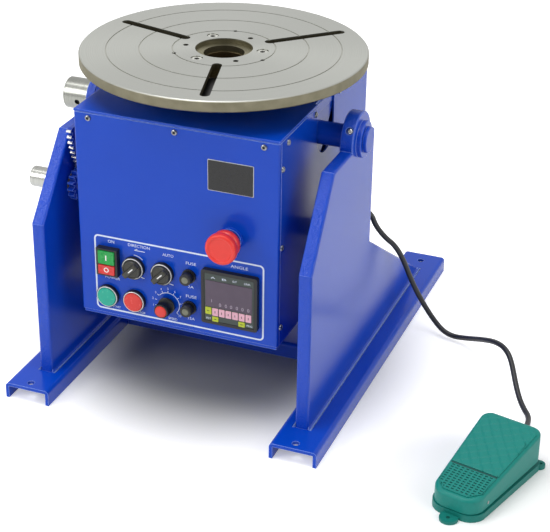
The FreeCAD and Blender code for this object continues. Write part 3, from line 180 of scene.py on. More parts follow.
def soft_box(name, place, target, size, watts):
    """A rectangular area lamp that faces a target."""
    lamp_data = bpy.data.lights.new(name, "AREA")
    lamp_data.shape = "RECTANGLE"
    lamp_data.size, lamp_data.size_y = size
    lamp_data.energy = watts
    lamp = bpy.data.objects.new(name, lamp_data)
    bpy.context.collection.objects.link(lamp)
    lamp.location = place
    facing = Vector(target) - Vector(place)
    lamp.rotation_euler = facing.to_track_quat("-Z", "Y").to_euler()


soft_box("overhead", (-0.3, -0.3, 2.2), (0, 0, 0), (1.6, 1.6), 36)
soft_box("left_side", (-1.7, -2.0, 1.2), (0, 0, -0.2), (1.2, 1.2), 26)
soft_box("right_side", (2.3, -0.8, 0.9), (0, 0, -0.2), (1.4, 1.4), 13)


# ---- Pedal cable --------------------------------------------------------------------------
# A round rubber lead, 7 mm thick. It leaves the gland behind the right post, drops to the
# floor and runs round to the heel of the foot pedal.
cable_points = (
    (0.1500, 0.0150, -0.2180),
    (0.1502, 0.0390, -0.2180),
    (0.1518, 0.0620, -0.2190),
    (0.1570, 0.0820, -0.2225),
    (0.1655, 0.0960, -0.2340),
    (0.1694, 0.1030, -0.2531),
    (0.1815, 0.1090, -0.2710),
    (0.1939, 0.1150, -0.2831),
    (0.2027, 0.1260, -0.3068),
    (0.2099, 0.1380, -0.3372),
    (0.2182, 0.1460, -0.3619),
    (0.2307, 0.1491, -0.3845),
    (0.2457, 0.1452, -0.4010),
    (0.2609, 0.1378, -0.4100),
    (0.2748, 0.1358, -0.4135),
    (0.2888, 0.1314, -0.4105),
    (0.3060, 0.1163, -0.4000),
    (0.3247, 0.0967, -0.3865),
    (0.3421, 0.0781, -0.3750),
    (0.3567, 0.0639, -0.3700),
    (0.3679, 0.0520, -0.3715),
    (0.3756, 0.0420, -0.3780),
    (0.3820, 0.0308, -0.3870),
    (0.3892, 0.0175, -0.3965),
    (0.3976, 0.0025, -0.4045),
    (0.4075, -0.0124, -0.4090),
    (0.4175, -0.0271, -0.4095),
    (0.4206, -0.0520, -0.4065),
    (0.4195, -0.0764, -0.4020),
    (0.4145, -0.0978, -0.4020),
)
cable_thickness = 0.007

curve_data = bpy.data.curves.new("pedal_cord", "CURVE")
curve_data.dimensions = "3D"
curve_data.bevel_depth = cable_thickness / 2
curve_data.bevel_resolution = 5
curve_data.resolution_u = 10
spline = curve_data.splines.new("NURBS")
spline.points.add(len(cable_points) - 1)
for point, corner in zip(spline.points, cable_points):
    point.co = (*corner, 1)
spline.order_u = 3
spline.use_endpoint_u = True
cord = bpy.data.objects.new("pedal_cord", curve_data)
bpy.context.collection.objects.link(cord)


def speckled(name, dark, light, grain_mm, roughness, bump=0.1, metallic=0.0):
    """A finish whose tone and gloss drift with a grain of the given size, and a fine bump."""
    material = new_material(name)
    coords = add_node(material, "ShaderNodeTexCoord")
    grain = add_node(material, "ShaderNodeTexNoise", None,
                     {"Vector": coords.outputs["Object"], "Scale": 1000 / grain_mm, "Detail": 3.0})
    tone = add_node(material, "ShaderNodeMix", {"data_type": "RGBA"},
                    {"Factor": grain.outputs["Fac"], 6: linear(dark), 7: linear(light)})
    gloss = add_node(material, "ShaderNodeMapRange", None,
                     {"Value": grain.outputs["Fac"], "To Min": roughness * 0.8,
                      "To Max": roughness * 1.2})
    raised = add_node(material, "ShaderNodeBump", None,
                      {"Height": grain.outputs["Fac"], "Strength": bump, "Distance": 0.0003})
    fill(shader_of(material), {"Base Color": tone.outputs[2], "Roughness": gloss.outputs[0],
                               "Normal": raised.outputs["Normal"], "Metallic": metallic})
    return material


# Smooth rubber sheath: nearly black with a satin shine along its top and fine dusty scuffs.
black_rubber = speckled("black_rubber_sheath", "#151517", "#2C2C2E", 6, 0.42)
cord.data.materials.append(black_rubber)
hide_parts("pedal_cable")
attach(cord, "base")


# ---- Blue enamelled steelwork -------------------------------------------------------------
# Feet, posts and the head's panels are welded or folded mild steel, sprayed with a glossy
# ultramarine enamel: a deep colour under a clear gloss with the ripple of sprayed paint.
def dress(material, *names):
    """Gives CAD nodes a finish in place of their plain one."""
    for name in names:
        for material_slot in frame["nodes"][name].material_slots:
            material_slot.material = material


def enamelled(name, deep, bright, peel_mm, peel_depth, edge_radius):
    """Sprayed gloss enamel: a drifting colour, orange peel, and edges painted pale blue as a
    highlight.

    The peel's size is in millimetres, and real peel is about half as coarse.
    """
    material = new_material(name)
    coords = add_node(material, "ShaderNodeTexCoord")
    drift = add_node(material, "ShaderNodeTexNoise", None,
                     {"Vector": coords.outputs["Object"], "Scale": 7.0, "Detail": 3.0})
    tone = add_node(material, "ShaderNodeMix", {"data_type": "RGBA"},
                    {"Factor": drift.outputs["Fac"], 6: linear(deep), 7: linear(bright)})
    soft_edge = add_node(material, "ShaderNodeBevel", {"samples": 6}, {"Radius": edge_radius})
    flat_face = add_node(material, "ShaderNodeNewGeometry")
    turned_away = add_node(material, "ShaderNodeVectorMath", {"operation": "DOT_PRODUCT"},
                           {0: soft_edge.outputs["Normal"], 1: flat_face.outputs["Normal"]})
    # Where the bevelled normal turns from the face's own, the colour goes pale blue: a painted
    # highlight along every edge.
    edge = add_node(material, "ShaderNodeMapRange", None,
                    {"Value": turned_away.outputs["Value"], "From Min": 0.995, "From Max": 0.9,
                     "To Max": 0.95})
    edge_tone_painted_highlight = add_node(material, "ShaderNodeMix", {"data_type": "RGBA"},
                         {"Factor": edge.outputs[0], 6: tone.outputs[2], 7: linear("#86A5F6")})
    peel = add_node(material, "ShaderNodeTexNoise", None,
                    {"Vector": coords.outputs["Object"], "Scale": 1000 / peel_mm, "Detail": 2.0})
    ripple = add_node(material, "ShaderNodeBump", None,
                      {"Height": peel.outputs["Fac"], "Normal": soft_edge.outputs["Normal"],
                       "Strength": peel_depth, "Distance": 0.0006})
    fill(shader_of(material), {"Base Color": edge_tone_painted_highlight.outputs[2], "Roughness": 0.2,
                               "Normal": ripple.outputs["Normal"], "Specular IOR Level": 0.3})
    return material


blue_enamel = enamelled("ultramarine_gloss_enamel", "#033FB4", "#0549C6", 3.5, 0.2, 0.0013)
dress(blue_enamel, "front_panel", "rear_panel", "left_side_panel", "right_side_panel",
      "bottom_plate", "top_plate", "corner_posts", "trunnion_hangers", "left_trunnion",
      "right_trunnion", "spindle_housing", "trunnion_cap", "left_foot", "right_foot",
      "cross_channel", "cable_gland", "motor_plate", "estop_body", "tilt_pinion")
# The posts are flame-cut plate, so on their cut edges the enamel lies over a coarser skin.
post_enamel = enamelled("enamel_over_cut_plate", "#033FB4", "#0549CA", 2.2, 1.0, 0.0014)
post_face = add_node(post_enamel, "ShaderNodeNewGeometry")
off_side = add_node(post_enamel, "ShaderNodeVectorMath", {"operation": "CROSS_PRODUCT"},
                    {0: post_face.outputs["Normal"], 1: (1, 0, 0)})
on_cut = add_node(post_enamel, "ShaderNodeVectorMath", {"operation": "LENGTH"},
                  {0: off_side.outputs[0]})
cut_peel = add_node(post_enamel, "ShaderNodeMapRange", None,
                    {"Value": on_cut.outputs["Value"], "To Min": 0.12, "To Max": 0.7})
fill(post_enamel.node_tree.nodes["Bump"], {"Strength": cut_peel.outputs[0], "Distance": 0.0014})
fill(shader_of(post_enamel), {"Specular IOR Level": 0.42})
dress(post_enamel, "left_post", "right_post")


# ---- Bushes, shafts and gears -------------------------------------------------------------
# Journals, collar and crank shaft are turned from bright bar, and the bushes from bronze. The
# sector is cut from plate, sprayed with the frame, and rubbed bright on the tooth tips.
def turned_finish(name, axis, centre, dark, light, roughness, ring_mm=0.9, anisotropy=0.5):
    """Bright metal with tool rings round an axis, drawn coarser than a real feed of 0.2 mm."""
    material = new_material(name)
    coords = add_node(material, "ShaderNodeTexCoord")
    moved = add_node(material, "ShaderNodeVectorMath", {"operation": "SUBTRACT"},
                     {0: coords.outputs["Object"], 1: centre})
    across = [0.0 if letter == axis else 1.0 for letter in "XYZ"]
    along = [1.0 - share for share in across]
    spread = add_node(material, "ShaderNodeVectorMath", {"operation": "MULTIPLY"},
                      {0: moved.outputs[0], 1: across})
    radius = add_node(material, "ShaderNodeVectorMath", {"operation": "LENGTH"},
                      {0: spread.outputs[0]})
    height = add_node(material, "ShaderNodeVectorMath", {"operation": "DOT_PRODUCT"},
                      {0: moved.outputs[0], 1: along})
    feed = add_node(material, "ShaderNodeMath", {"operation": "ADD"},
                    {0: radius.outputs["Value"], 1: height.outputs["Value"]})
    rings = add_node(material, "ShaderNodeTexNoise", {"noise_dimensions": "1D"},
                     {"W": feed.outputs[0], "Scale": 1000 / ring_mm, "Detail": 3.0})
    tone = add_node(material, "ShaderNodeMix", {"data_type": "RGBA"},
                    {"Factor": rings.outputs["Fac"], 6: linear(dark), 7: linear(light)})
    cut = add_node(material, "ShaderNodeBump", None,
                   {"Height": rings.outputs["Fac"], "Strength": 0.1, "Distance": 0.0002})
    grain = add_node(material, "ShaderNodeTangent", {"direction_type": "RADIAL", "axis": axis})
    fill(shader_of(material),
         {"Base Color": tone.outputs[2], "Normal": cut.outputs["Normal"],
          "Tangent": grain.outputs[0], "Metallic": 1.0, "Roughness": roughness,
          "Anisotropic": anisotropy})
    return material


def middle(node):
    """The centre of a CAD node's box."""
    low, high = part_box(node)
    return (low + high) / 2


# Bright drawn bar off the lathe: fine rings that pull its highlights into long bands.
bright_bar = turned_finish("bright_turned_steel", "X", middle("trunnion_collar"),
                           "#6E7069", "#BFC0BA", 0.24)
dress(bright_bar, "trunnion_collar")
# The crank shaft is ground, so it is paler and cleaner than the collar.
crank_steel = turned_finish("ground_crank_steel", "X", middle("tilt_crank_shaft"),
                            "#8E8F8A", "#D8D9D4", 0.24)
dress(crank_steel, "tilt_crank_shaft")
# Sintered bronze: a dull gold, dark where oil has soaked in.
bronze = speckled("turned_bronze", "#8A6A34", "#B08C50", 4, 0.35, metallic=1.0)
dress(bronze, "trunnion_bushes", "crank_bush")
# A black socket screw: oiled steel with hardly any shine.
dark_steel = speckled("oiled_black_steel", "#1E1E20", "#3C3C3C", 5, 0.38, metallic=0.8)
dress(dark_steel, "collar_screw")


def wear(material, share, colour):
    """Lets another colour show through a finish, by a share from 0 to 1; it draws bare metal rubbed
    through, and painted shade.
    """
    own = shader_of(material).inputs["Base Color"].links[0].from_socket
    blend = add_node(material, "ShaderNodeMix", {"data_type": "RGBA"},
                     {"Factor": share, 6: own, 7: colour})
    fill(shader_of(material), {"Base Color": blend.outputs[2]})


# Sprayed gloss enamel, worn through to bare bright steel where the pinion's teeth run.
sector_paint = enamelled("enamel_rubbed_off_teeth", "#02309A", "#033CB0", 2.2, 0.5, 0.0006)
sector_radius = 0.105
tilt_axis = next(joint for joint in frame["joints"] if joint["name"] == "head_tilt")["pos_m"]
sector_coords = add_node(sector_paint, "ShaderNodeTexCoord")
from_axis = add_node(sector_paint, "ShaderNodeVectorMath", {"operation": "SUBTRACT"},
                     {0: sector_coords.outputs["Object"], 1: tilt_axis})
upright = add_node(sector_paint, "ShaderNodeVectorMath", {"operation": "MULTIPLY"},
                   {0: from_axis.outputs[0], 1: (0, 1, 1)})
tooth_reach = add_node(sector_paint, "ShaderNodeVectorMath", {"operation": "LENGTH"},
                       {0: upright.outputs[0]})
rubbed = add_node(sector_paint, "ShaderNodeMapRange", None,
                  {"Value": tooth_reach.outputs["Value"], "From Min": sector_radius - 0.0025,
                   "From Max": sector_radius - 0.0012})
wear(sector_paint, rubbed.outputs[0], linear("#E8E6DE"))
fill(shader_of(sector_paint), {"Metallic": rubbed.outputs[0]})
dress(sector_paint, "tilt_sector")
# Hobbed and hardened steel, left bare: a plain mid grey with a soft gleam.
gear_steel = speckled("hobbed_gear_steel", "#8A8A88", "#B4B4B0", 3, 0.32, metallic=1.0)
dress(gear_steel, "spindle_gear", "drive_pinion", "spindle_nut", "bearing_inner_rings",
      "bearing_outer_rings", "pedal_pin")


# ---- Round table --------------------------------------------------------------------------
# A steel disc faced on a lathe, with three grooved circles, three T-slots and a bored middle,
# held to the spindle by three cap-head screws. The tool leaves fine rings round the middle.
table_steel = turned_finish("faced_table_steel", "Z", (0.0, 0.0, 0.0), "#B0B2AB", "#D3D4CE",
                            0.34, 0.7, 0.55)


def below_face(material, start, end):
    """A share that grows from 0 to 1 between two heights below the table's top face."""
    coords = add_node(material, "ShaderNodeTexCoord")
    height = add_node(material, "ShaderNodeSeparateXYZ", None, {0: coords.outputs["Object"]})
    share = add_node(material, "ShaderNodeMapRange", None,
                     {"Value": height.outputs["Z"], "From Min": start, "From Max": end})
    return share.outputs[0]


# Below the faced top, the rim and the recess are drawn duller, darker and browner: partly the skin
# left from the rolling mill where it was not faced, partly painted shade.
unfaced_and_shaded = below_face(table_steel, -0.0005, -0.0016)
table_coords = add_node(table_steel, "ShaderNodeTexCoord")
streaks = add_node(table_steel, "ShaderNodeTexNoise", None,
                   {"Vector": table_coords.outputs["Object"], "Scale": 60.0, "Detail": 4.0})
rolled_and_shaded_tone = add_node(table_steel, "ShaderNodeMix", {"data_type": "RGBA"},
                  {"Factor": streaks.outputs["Fac"], 6: linear("#6C6853"), 7: linear("#96917D")})
wear(table_steel, unfaced_and_shaded, rolled_and_shaded_tone.outputs[2])
rim_dullness = add_node(table_steel, "ShaderNodeMapRange", None,
                        {"Value": unfaced_and_shaded, "To Min": 0.34, "To Max": 0.5})
fill(shader_of(table_steel), {"Roughness": rim_dullness.outputs[0]})
dress(table_steel, "table")
# The spindle's bore is drawn in a warmer, browner and darker grey than the table.
spindle_steel = turned_finish("bored_spindle_steel", "Z", (0.0, 0.0, 0.0), "#8A785E",
                              "#BCAB8C", 0.32, 0.8, 0.4)
dress(spindle_steel, "spindle")
# The cap screws are zinc plated; below the table's face they are drawn nearly black, as painted shade
# in their sockets and round their heads.
screw_steel = speckled("bright_zinc_screw_steel", "#C4C4BC", "#E6E6E0", 2, 0.42, metallic=0.85)
wear(screw_steel, below_face(screw_steel, -0.0012, -0.003), linear("#141414"))
dress(screw_steel, "table_screws")


# ---- Panel screws -------------------------------------------------------------------------
# Zinc-plated pan-head screws hold the panels to the corner posts and the top plate: three
# along the front's top edge, and four above three down each side. Each has a cross recess.
mm = 0.001
panel_low, panel_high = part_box("front_panel")
face_y = panel_low.y
side_x = panel_high.x
head_top = panel_high.z
floor_to_top = -floor_z / mm          # the table's top above the floor, in millimetres
machine_y = -0.007                    # the tilt axis, behind the table's middle


def deselect():
    """Leaves edit mode and selects nothing."""
    if bpy.context.object and bpy.context.object.mode != "OBJECT":
        bpy.ops.object.mode_set(mode="OBJECT")
    bpy.ops.object.select_all(action="DESELECT")


def extrude_up(height, scale=1.0, centre=(0, 0, 0)):
    """In edit mode, extrudes what is selected along z and resizes it about a centre."""
    bpy.ops.mesh.extrude_region_move(TRANSFORM_OT_translate={"value": (0, 0, height)})
    if scale != 1.0:
        bpy.ops.transform.resize(value=(scale, scale, 1), center_override=centre)


def pick_faces(mesh, rule):
    """In edit mode, selects only the faces whose centre and normal fit the rule."""
    bpy.ops.mesh.select_all(action="DESELECT")
    bpy.ops.object.mode_set(mode="OBJECT")
    for face in mesh.polygons:
        face.select = rule(face.center, face.normal)
    bpy.ops.object.mode_set(mode="EDIT")


def close_up():
    """Ends an edit: turns every face outwards and leaves edit mode."""
    bpy.ops.mesh.select_all(action="SELECT")
    bpy.ops.mesh.normals_make_consistent(inside=False)
    bpy.ops.object.mode_set(mode="OBJECT")


def turned_piece(name, stations, segments=48, smooth=32):
    """A solid turned shape on the z axis: a cylinder whose top is extruded through stations.

    Each station is a radius and a height, in millimetres, from the seat to the nose.
    """
    deselect()
    (radius, low), (_, high) = stations[:2]
    bpy.ops.mesh.primitive_cylinder_add(vertices=segments, radius=radius * mm,
                                        depth=(high - low) * mm,
                                        location=(0, 0, (low + high) / 2 * mm))
    piece = bpy.context.object
    piece.name = name
    bpy.ops.object.transform_apply()
    bpy.ops.object.mode_set(mode="EDIT")
    pick_faces(piece.data, lambda centre, normal: normal.z > 0.9)
    bpy.ops.transform.resize(value=(stations[1][0] / radius,) * 2 + (1,),
                             center_override=(0, 0, high * mm))
    for (before, height), (after, top) in zip(stations[1:], stations[2:]):
        extrude_up((top - height) * mm, after / before, (0, 0, top * mm))
    close_up()
    bpy.ops.object.shade_smooth_by_angle(angle=math.radians(smooth))
    return piece


def turned_ring(name, stations, segments=64):
    """A closed ring on the z axis: a circle of edges extruded round a section and merged."""
    deselect()
    bpy.ops.mesh.primitive_circle_add(vertices=segments, radius=stations[0][0] * mm,
                                      location=(0, 0, stations[0][1] * mm))
    piece = bpy.context.object
    piece.name = name
    bpy.ops.object.transform_apply()
    bpy.ops.object.mode_set(mode="EDIT")
    bpy.ops.mesh.select_all(action="SELECT")
    for (before, height), (after, top) in zip(stations, stations[1:] + stations[:1]):
        extrude_up((top - height) * mm, after / before, (0, 0, top * mm))
    bpy.ops.mesh.select_all(action="SELECT")
    bpy.ops.mesh.remove_doubles(threshold=0.00001)
    close_up()
    bpy.ops.object.shade_smooth_by_angle(angle=math.radians(30))
    return piece


def settle(piece, turn, place):
    """Turns and moves a piece modelled on the z axis, and puts its place into its mesh."""
    deselect()
    piece.select_set(True)
    bpy.context.view_layer.objects.active = piece
    piece.rotation_euler = turn
    piece.location = place
    bpy.ops.object.transform_apply()


def copy_of(piece, name):
    """A second piece of the same shape, with a mesh of its own."""
    twin = piece.copy()
    twin.data = piece.data.copy()
    twin.name = name
    bpy.context.collection.objects.link(twin)
    return twin


def finish(piece, material, body, slot_name):
    """Gives a new piece its finish and the body that it rides on; the slot name is not used."""
    piece.data.materials.clear()
    piece.data.materials.append(material)
    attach(piece, body)
    return piece


to_front = (math.pi / 2, 0, 0)
to_right = (0, math.pi / 2, 0)
to_left = (0, -math.pi / 2, 0)

# Bright zinc plating on a pressed head: grey with a hard small highlight.
zinc_plate = speckled("zinc_plated_screw", "#77797C", "#B4B6B8", 2, 0.28, metallic=1.0)
pan_section = [(3.7, -2.5), (3.7, 0.7), (3.4, 1.5), (2.6, 2.1), (2.2, 2.2)]
pan_head = turned_piece("panel_screw", pan_section, 24)
bpy.ops.object.mode_set(mode="EDIT")
pick_faces(pan_head.data, lambda centre, normal: centre.z > 2.15 * mm)
bpy.ops.mesh.inset(thickness=0.7 * mm)
extrude_up(-1.5 * mm, 0.75, (0, 0, 0.7 * mm))
bpy.ops.object.mode_set(mode="OBJECT")
screw_places = [((x, face_y, head_top - 6.0 * mm), to_front) for x in (-0.111, 0, 0.111)]
top_row = [(y, 7.0) for y in (-113.0, -22.5, 63.0, 150.0)]
front_column = [(-129.5, drop) for drop in (34.0, 134.0, 240.0)]
for y, drop in top_row + front_column:
    for x, turn in ((-side_x, to_left), (side_x, to_right)):
        screw_places.append(((x, y * mm + machine_y, head_top - drop * mm), turn))
for number, (place, turn) in enumerate(screw_places):
    screw = copy_of(pan_head, f"panel_screw_{number + 1:02d}")
    settle(screw, turn, place)
    finish(screw, zinc_plate, "head", "zinc")
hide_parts("panel_screws")
bpy.data.objects.remove(pan_head)


# ---- Eye screw and shade strips under the slots -------------------------------------------
# The screw in the right eye has a slotted zinc head, low in its recess; the screw's body
# round it is drawn black as painted shade in the recess. Under each of the table's slots
# lies a black strip: painted shade inside the slot.
eye_reach = 31.6                       # from the tilt axis, in millimetres
eye_angle = 35.0                       # above the level, towards the front
eye_section = [(3.4, 0.0), (3.4, 0.7), (2.9, 1.3), (2.0, 1.6), (1.4, 1.6), (1.3, 0.9), (0.3, 0.9)]
eye_head = turned_piece("eye_screw_head", eye_section, 24)
eye_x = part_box("right_post")[1].x - 12.5 * mm
eye_way = Vector((0, -math.cos(math.radians(eye_angle)), math.sin(math.radians(eye_angle))))
settle(eye_head, (math.radians(90 - eye_angle), 0, 0),
       Vector((eye_x, tilt_axis[1], tilt_axis[2])) + eye_way * eye_reach * mm)
# New zinc plating, nearly white in its dark recess.
bright_zinc = speckled("bright_zinc_head", "#C8CACC", "#F0F0EE", 2, 0.2, metallic=1.0)
finish(eye_head, bright_zinc, "base", "zinc")
# Nearly black steel with a faint metal sheen: painted shade, in the eye screw's recess and
# under the table's slots.
black_as_painted_shade = speckled("black_steel_painted_shade", "#2A2A2C", "#5A5A5C", 2, 0.3, metallic=1.0)
dress(black_as_painted_shade, "eye_screw")


def box_in_edit(name, size, place=(0, 0, 0)):
    """A box of a size at a place, both in millimetres, left in edit mode."""
    deselect()
    bpy.ops.mesh.primitive_cube_add(size=1, location=[value * mm for value in place])
    piece = bpy.context.object
    piece.name = name
    piece.scale = [value * mm for value in size]
    bpy.ops.object.transform_apply()
    bpy.ops.object.mode_set(mode="EDIT")
    return piece


def round_edges(width, segments):
    """Bevels every edge by a width in millimetres, and leaves edit mode."""
    bpy.ops.mesh.select_all(action="SELECT")
    bpy.ops.mesh.bevel(offset=width * mm, segments=segments)
    bpy.ops.object.mode_set(mode="OBJECT")


slot_middle = 118.5                    # from the table's middle, in millimetres
table_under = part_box("table")[0].z / mm
for number, degrees in enumerate((45.0, 165.0, 285.0)):
    strip = box_in_edit(f"slot_shade_strip_{number + 1}", (104, 23, 1.5),
                        (slot_middle, 0, table_under - 0.8))
    round_edges(0.4, 2)
    settle(strip, (0, 0, math.radians(degrees)), (0, 0, 0))
    finish(strip, black_as_painted_shade, "table_group", "gear_steel")


# ---- Maker's plate ------------------------------------------------------------------------
# A thin plate of black anodised aluminium, glued to the front's upper right corner. It is
# left bare, with a fine bright rim where its edge was sheared.
def on_panel(piece, place, proud=0.0):
    """Sets a piece modelled on the z axis on the front, proud of it by some millimetres."""
    x, z = place
    settle(piece, to_front, (x * mm, face_y - proud * mm, (z - floor_to_top) * mm))
    return piece


def sheet_in_edit(name, width, height, corner, segments):
    """A flat sheet with rounded corners, in millimetres, left in edit mode with all selected."""
    deselect()
    bpy.ops.mesh.primitive_plane_add(size=1)
    piece = bpy.context.object
    piece.name = name
    piece.scale = (width * mm, height * mm, 1)
    bpy.ops.object.transform_apply()
    bpy.ops.object.mode_set(mode="EDIT")
    bpy.ops.mesh.select_all(action="SELECT")
    bpy.ops.mesh.bevel(offset=corner * mm, segments=segments, affect="VERTICES")
    bpy.ops.mesh.select_all(action="SELECT")
    return piece


def flat_plate(name, x_range, z_range, depth, corner, proud=0.0):
    """A plate on the front, in floor millimetres, with rounded corners and a softened edge."""
    (x_low, x_high), (z_low, z_high) = x_range, z_range
    piece = sheet_in_edit(name, x_high - x_low, z_high - z_low, corner, 5)
    lip = min(0.2, depth / 3)
    extrude_up((depth - lip) * mm)
    bpy.ops.mesh.inset(thickness=min(0.35, depth) * mm)
    bpy.ops.transform.translate(value=(0, 0, lip * mm))
    close_up()
    return on_panel(piece, ((x_low + x_high) / 2, (z_low + z_high) / 2), proud)


# Black anodised aluminium: deep black with a silky gloss.
black_anodised = speckled("black_anodised_aluminium", "#0C0C0E", "#18181A", 1.5, 0.28)
# The bare aluminium that the shear leaves round the plate.
sheared_edge = speckled("sheared_aluminium_edge", "#9A9C9E", "#C8CACC", 1, 0.3, metallic=1.0)
finish(flat_plate("makers_plate_rim", (41.2, 98.8), (302.2, 341.3), 0.5, 1.5), sheared_edge,
       "head", "bright_steel")
finish(flat_plate("makers_plate", (42.0, 98.0), (303.0, 340.5), 0.9, 1.2), black_anodised,
       "head", "black_plastic")


# ---- Printed frame and lettering ----------------------------------------------------------
# White ink, screen printed on the enamel: a frame round the controls, and a name or a number
# by each of them. Thin ink lets a little of the blue through, so the white is cool.
white_ink = speckled("white_screen_ink", "#D2DEF2", "#E6EFFC", 1.2, 0.45, 0.05)
ink_depth = 0.08                       # thicker than real ink, to stand clear of the enamel
capital_share = 0.7                    # a capital's height in the font, as a share of its size


def letters(name, words, x_range, z, cap, proud=0.0):
    """Words of a cap height, stretched between two x if they differ, at height z."""
    deselect()
    bpy.ops.object.text_add()
    piece = bpy.context.object
    piece.name = name
    piece.data.body = words
    piece.data.align_x = "CENTER"
    piece.data.align_y = "CENTER"
    piece.data.size = cap * mm / capital_share
    piece.data.extrude = ink_depth / 2 * mm
    piece.data.resolution_u = 3
    bpy.ops.object.convert(target="MESH")
    edges = [corner[0] for corner in piece.bound_box]
    low, high = x_range
    if high > low:
        piece.scale.x = (high - low) * mm / (max(edges) - min(edges))
    bpy.ops.object.transform_apply()
    return on_panel(piece, ((low + high) / 2, z), proud + ink_depth / 2)


words = (
    ("word_on", "ON", (-91.2, -82.8), 209.6, 4.0),
    ("word_power", "POWER", (-97.0, -77.0), 160.3, 3.6),
    ("word_direction", "DIRECTION", (-64.3, -35.4), 210.2, 3.7),
    ("word_auto", "AUTO", (-18.6, -4.2), 205.8, 3.7),
    ("word_fuse_upper", "FUSE", (11.8, 25.0), 200.7, 3.7),
    ("word_fuse_lower", "FUSE", (11.3, 25.3), 155.7, 3.9),
    ("word_2_amp", "2A", (13.9, 21.6), 169.2, 3.6),
    ("word_15_amp", "15A", (13.3, 22.0), 125.6, 3.6),
    ("word_start", "START", (-88.0, -77.4), 120.6, 2.9),
    ("word_stop", "STOP", (-53.5, -43.9), 119.4, 2.9),
    ("word_speed", "SPEED", (-12.4, -0.7), 120.0, 3.2),
    ("word_angle", "ANGLE", (70.0, 92.1), 208.0, 3.7),
)
for name, text, x_range, z, cap in words:
    finish(letters(name, text, x_range, z, cap), white_ink, "head", "blue_paint")

print_frame = sheet_in_edit("print_frame", 222.7, 101.6, 6, 8)
bpy.ops.mesh.inset(thickness=2.1 * mm)
bpy.ops.mesh.delete(type="FACE")
bpy.ops.mesh.select_all(action="SELECT")
extrude_up(ink_depth * mm)
close_up()
finish(on_panel(print_frame, (1.35, 165.8)), white_ink, "head", "blue_paint")


def ink_bar(name, length, width, place, angle=0.0, depth=ink_depth, proud=0.0):
    """A printed bar, centred at a place on the front in floor millimetres, turned by angle."""
    piece = box_in_edit(name, (length, width, depth))
    round_edges(min(width, depth) * 0.2, 1)
    piece.rotation_euler.z = math.radians(angle)
    bpy.ops.object.transform_apply()
    return on_panel(piece, place, proud + depth / 2)


def ink_arc(name, place, radius, start, end, width=0.9):
    """A printed arc from one angle to another: its end face, spun about the arc's middle.

    The spin goes clockwise for an angle above zero.
    """
    deselect()
    bpy.ops.mesh.primitive_plane_add(size=1, rotation=(math.pi / 2, 0, 0),
                                     location=((radius + width / 2) * mm, 0, ink_depth / 2 * mm))
    piece = bpy.context.object
    piece.name = name
    piece.scale = (width * mm, ink_depth * mm, 1)
    bpy.ops.object.transform_apply()
    piece.rotation_euler.z = math.radians(start)
    bpy.ops.object.transform_apply()
    bpy.ops.object.mode_set(mode="EDIT")
    bpy.ops.mesh.select_all(action="SELECT")
    bpy.ops.mesh.spin(steps=max(6, int(abs(end - start) / 6)), angle=math.radians(start - end),
                      center=(0, 0, 0), axis=(0, 0, 1))
    close_up()
    return on_panel(piece, place)


direction_place = (-57.0, 181.0)
mode_place = (-18.5, 181.0)
speed_place = (-12.5, 139.7)
marks = [
    ink_bar("arrow_shaft", 14.0, 0.9, (-49.2, 204.2)),
    ink_bar("arrow_barb", 4.5, 0.9, (-54.0, 205.3), 30),
    ink_arc("direction_arc", direction_place, 16.2, 46, 90),
    ink_bar("direction_mark", 5.6, 1.0, (-46.4, 168.6), -12),
    ink_bar("mode_mark", 5.6, 1.0, (-7.6, 167.4), -12),
    ink_arc("speed_arc", speed_place, 14.6, -42, 139, 0.8),
]
for number in range(11):
    angle = 222 - 26.4 * number
    spoke = Vector((math.cos(math.radians(angle)), math.sin(math.radians(angle))))
    spot = Vector(speed_place) + spoke * 16.6
    marks.append(ink_bar(f"speed_tick_{number:02d}", 2.6, 0.7, spot, angle))
    spot = Vector(speed_place) + spoke * 20.6
    marks.append(letters(f"speed_number_{number:02d}", str(number), (spot.x, spot.x), spot.y, 2.9))
for mark in marks:
    finish(mark, white_ink, "head", "blue_paint")


# ---- Push buttons and selectors -----------------------------------------------------------
# 22 mm controls of black polyamide, nutted into the panel from behind. A bright plated ring
# is snapped round the front of each. Caps and knobs are moulded, each in its own colour.

# Moulded polyamide with a fine spark-eroded texture: black and half matt.
black_abs = speckled("black_moulded_polyamide", "#101012", "#1E1E20", 2.5, 0.42)
dress(black_abs, "button_bodies", "selector_bodies", "power_switch_body",
      "fuse_holders", "counter", "speed_pot", "mains_inlet")
# Chrome plating, drawn nearly white and barely metallic, so it stays bright from every side: a painted
# highlight.
ring_with_painted_highlight = speckled("ring_white_painted_highlight", "#E4E6E6", "#FAFAFA", 3, 0.3, metallic=0.15)
start_place, stop_place = (-93.0, 135.5), (-57.0, 135.5)
ring_section = [(12.6, 4.6), (12.6, 5.5), (12.8, 5.9), (13.2, 6.0), (13.5, 5.8), (13.7, 5.1),
                (13.7, 4.6)]
ring = turned_ring("control_ring", ring_section)
for label, place in (("start", start_place), ("stop", stop_place),
                     ("direction", direction_place), ("mode", mode_place)):
    finish(on_panel(copy_of(ring, f"{label}_ring"), place), ring_with_painted_highlight, "head", "bright_steel")
bpy.data.objects.remove(ring)

# Coloured polycarbonate caps: glossy and even, very slightly domed, with a softened rim.
green_cap = speckled("teal_green_moulded_cap", "#0CA088", "#12B094", 5, 0.26, 0.05)
red_cap = speckled("signal_red_moulded_cap", "#D22E26", "#E0392F", 5, 0.26, 0.05)
cap_section = [(12.0, 4.3), (12.2, 5.6), (12.1, 6.7), (11.6, 7.3), (9.0, 7.55), (5.0, 7.7),
               (1.0, 7.75)]
cap = turned_piece("button_cap", cap_section, 56)
for label, place, material, slot_name in (("start", start_place, green_cap, "green_plastic"),
                                          ("stop", stop_place, red_cap, "red_plastic")):
    piece = finish(on_panel(copy_of(cap, f"{label}_cap"), place), material, label, slot_name)
    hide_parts(f"{label}_button")
bpy.data.objects.remove(cap)

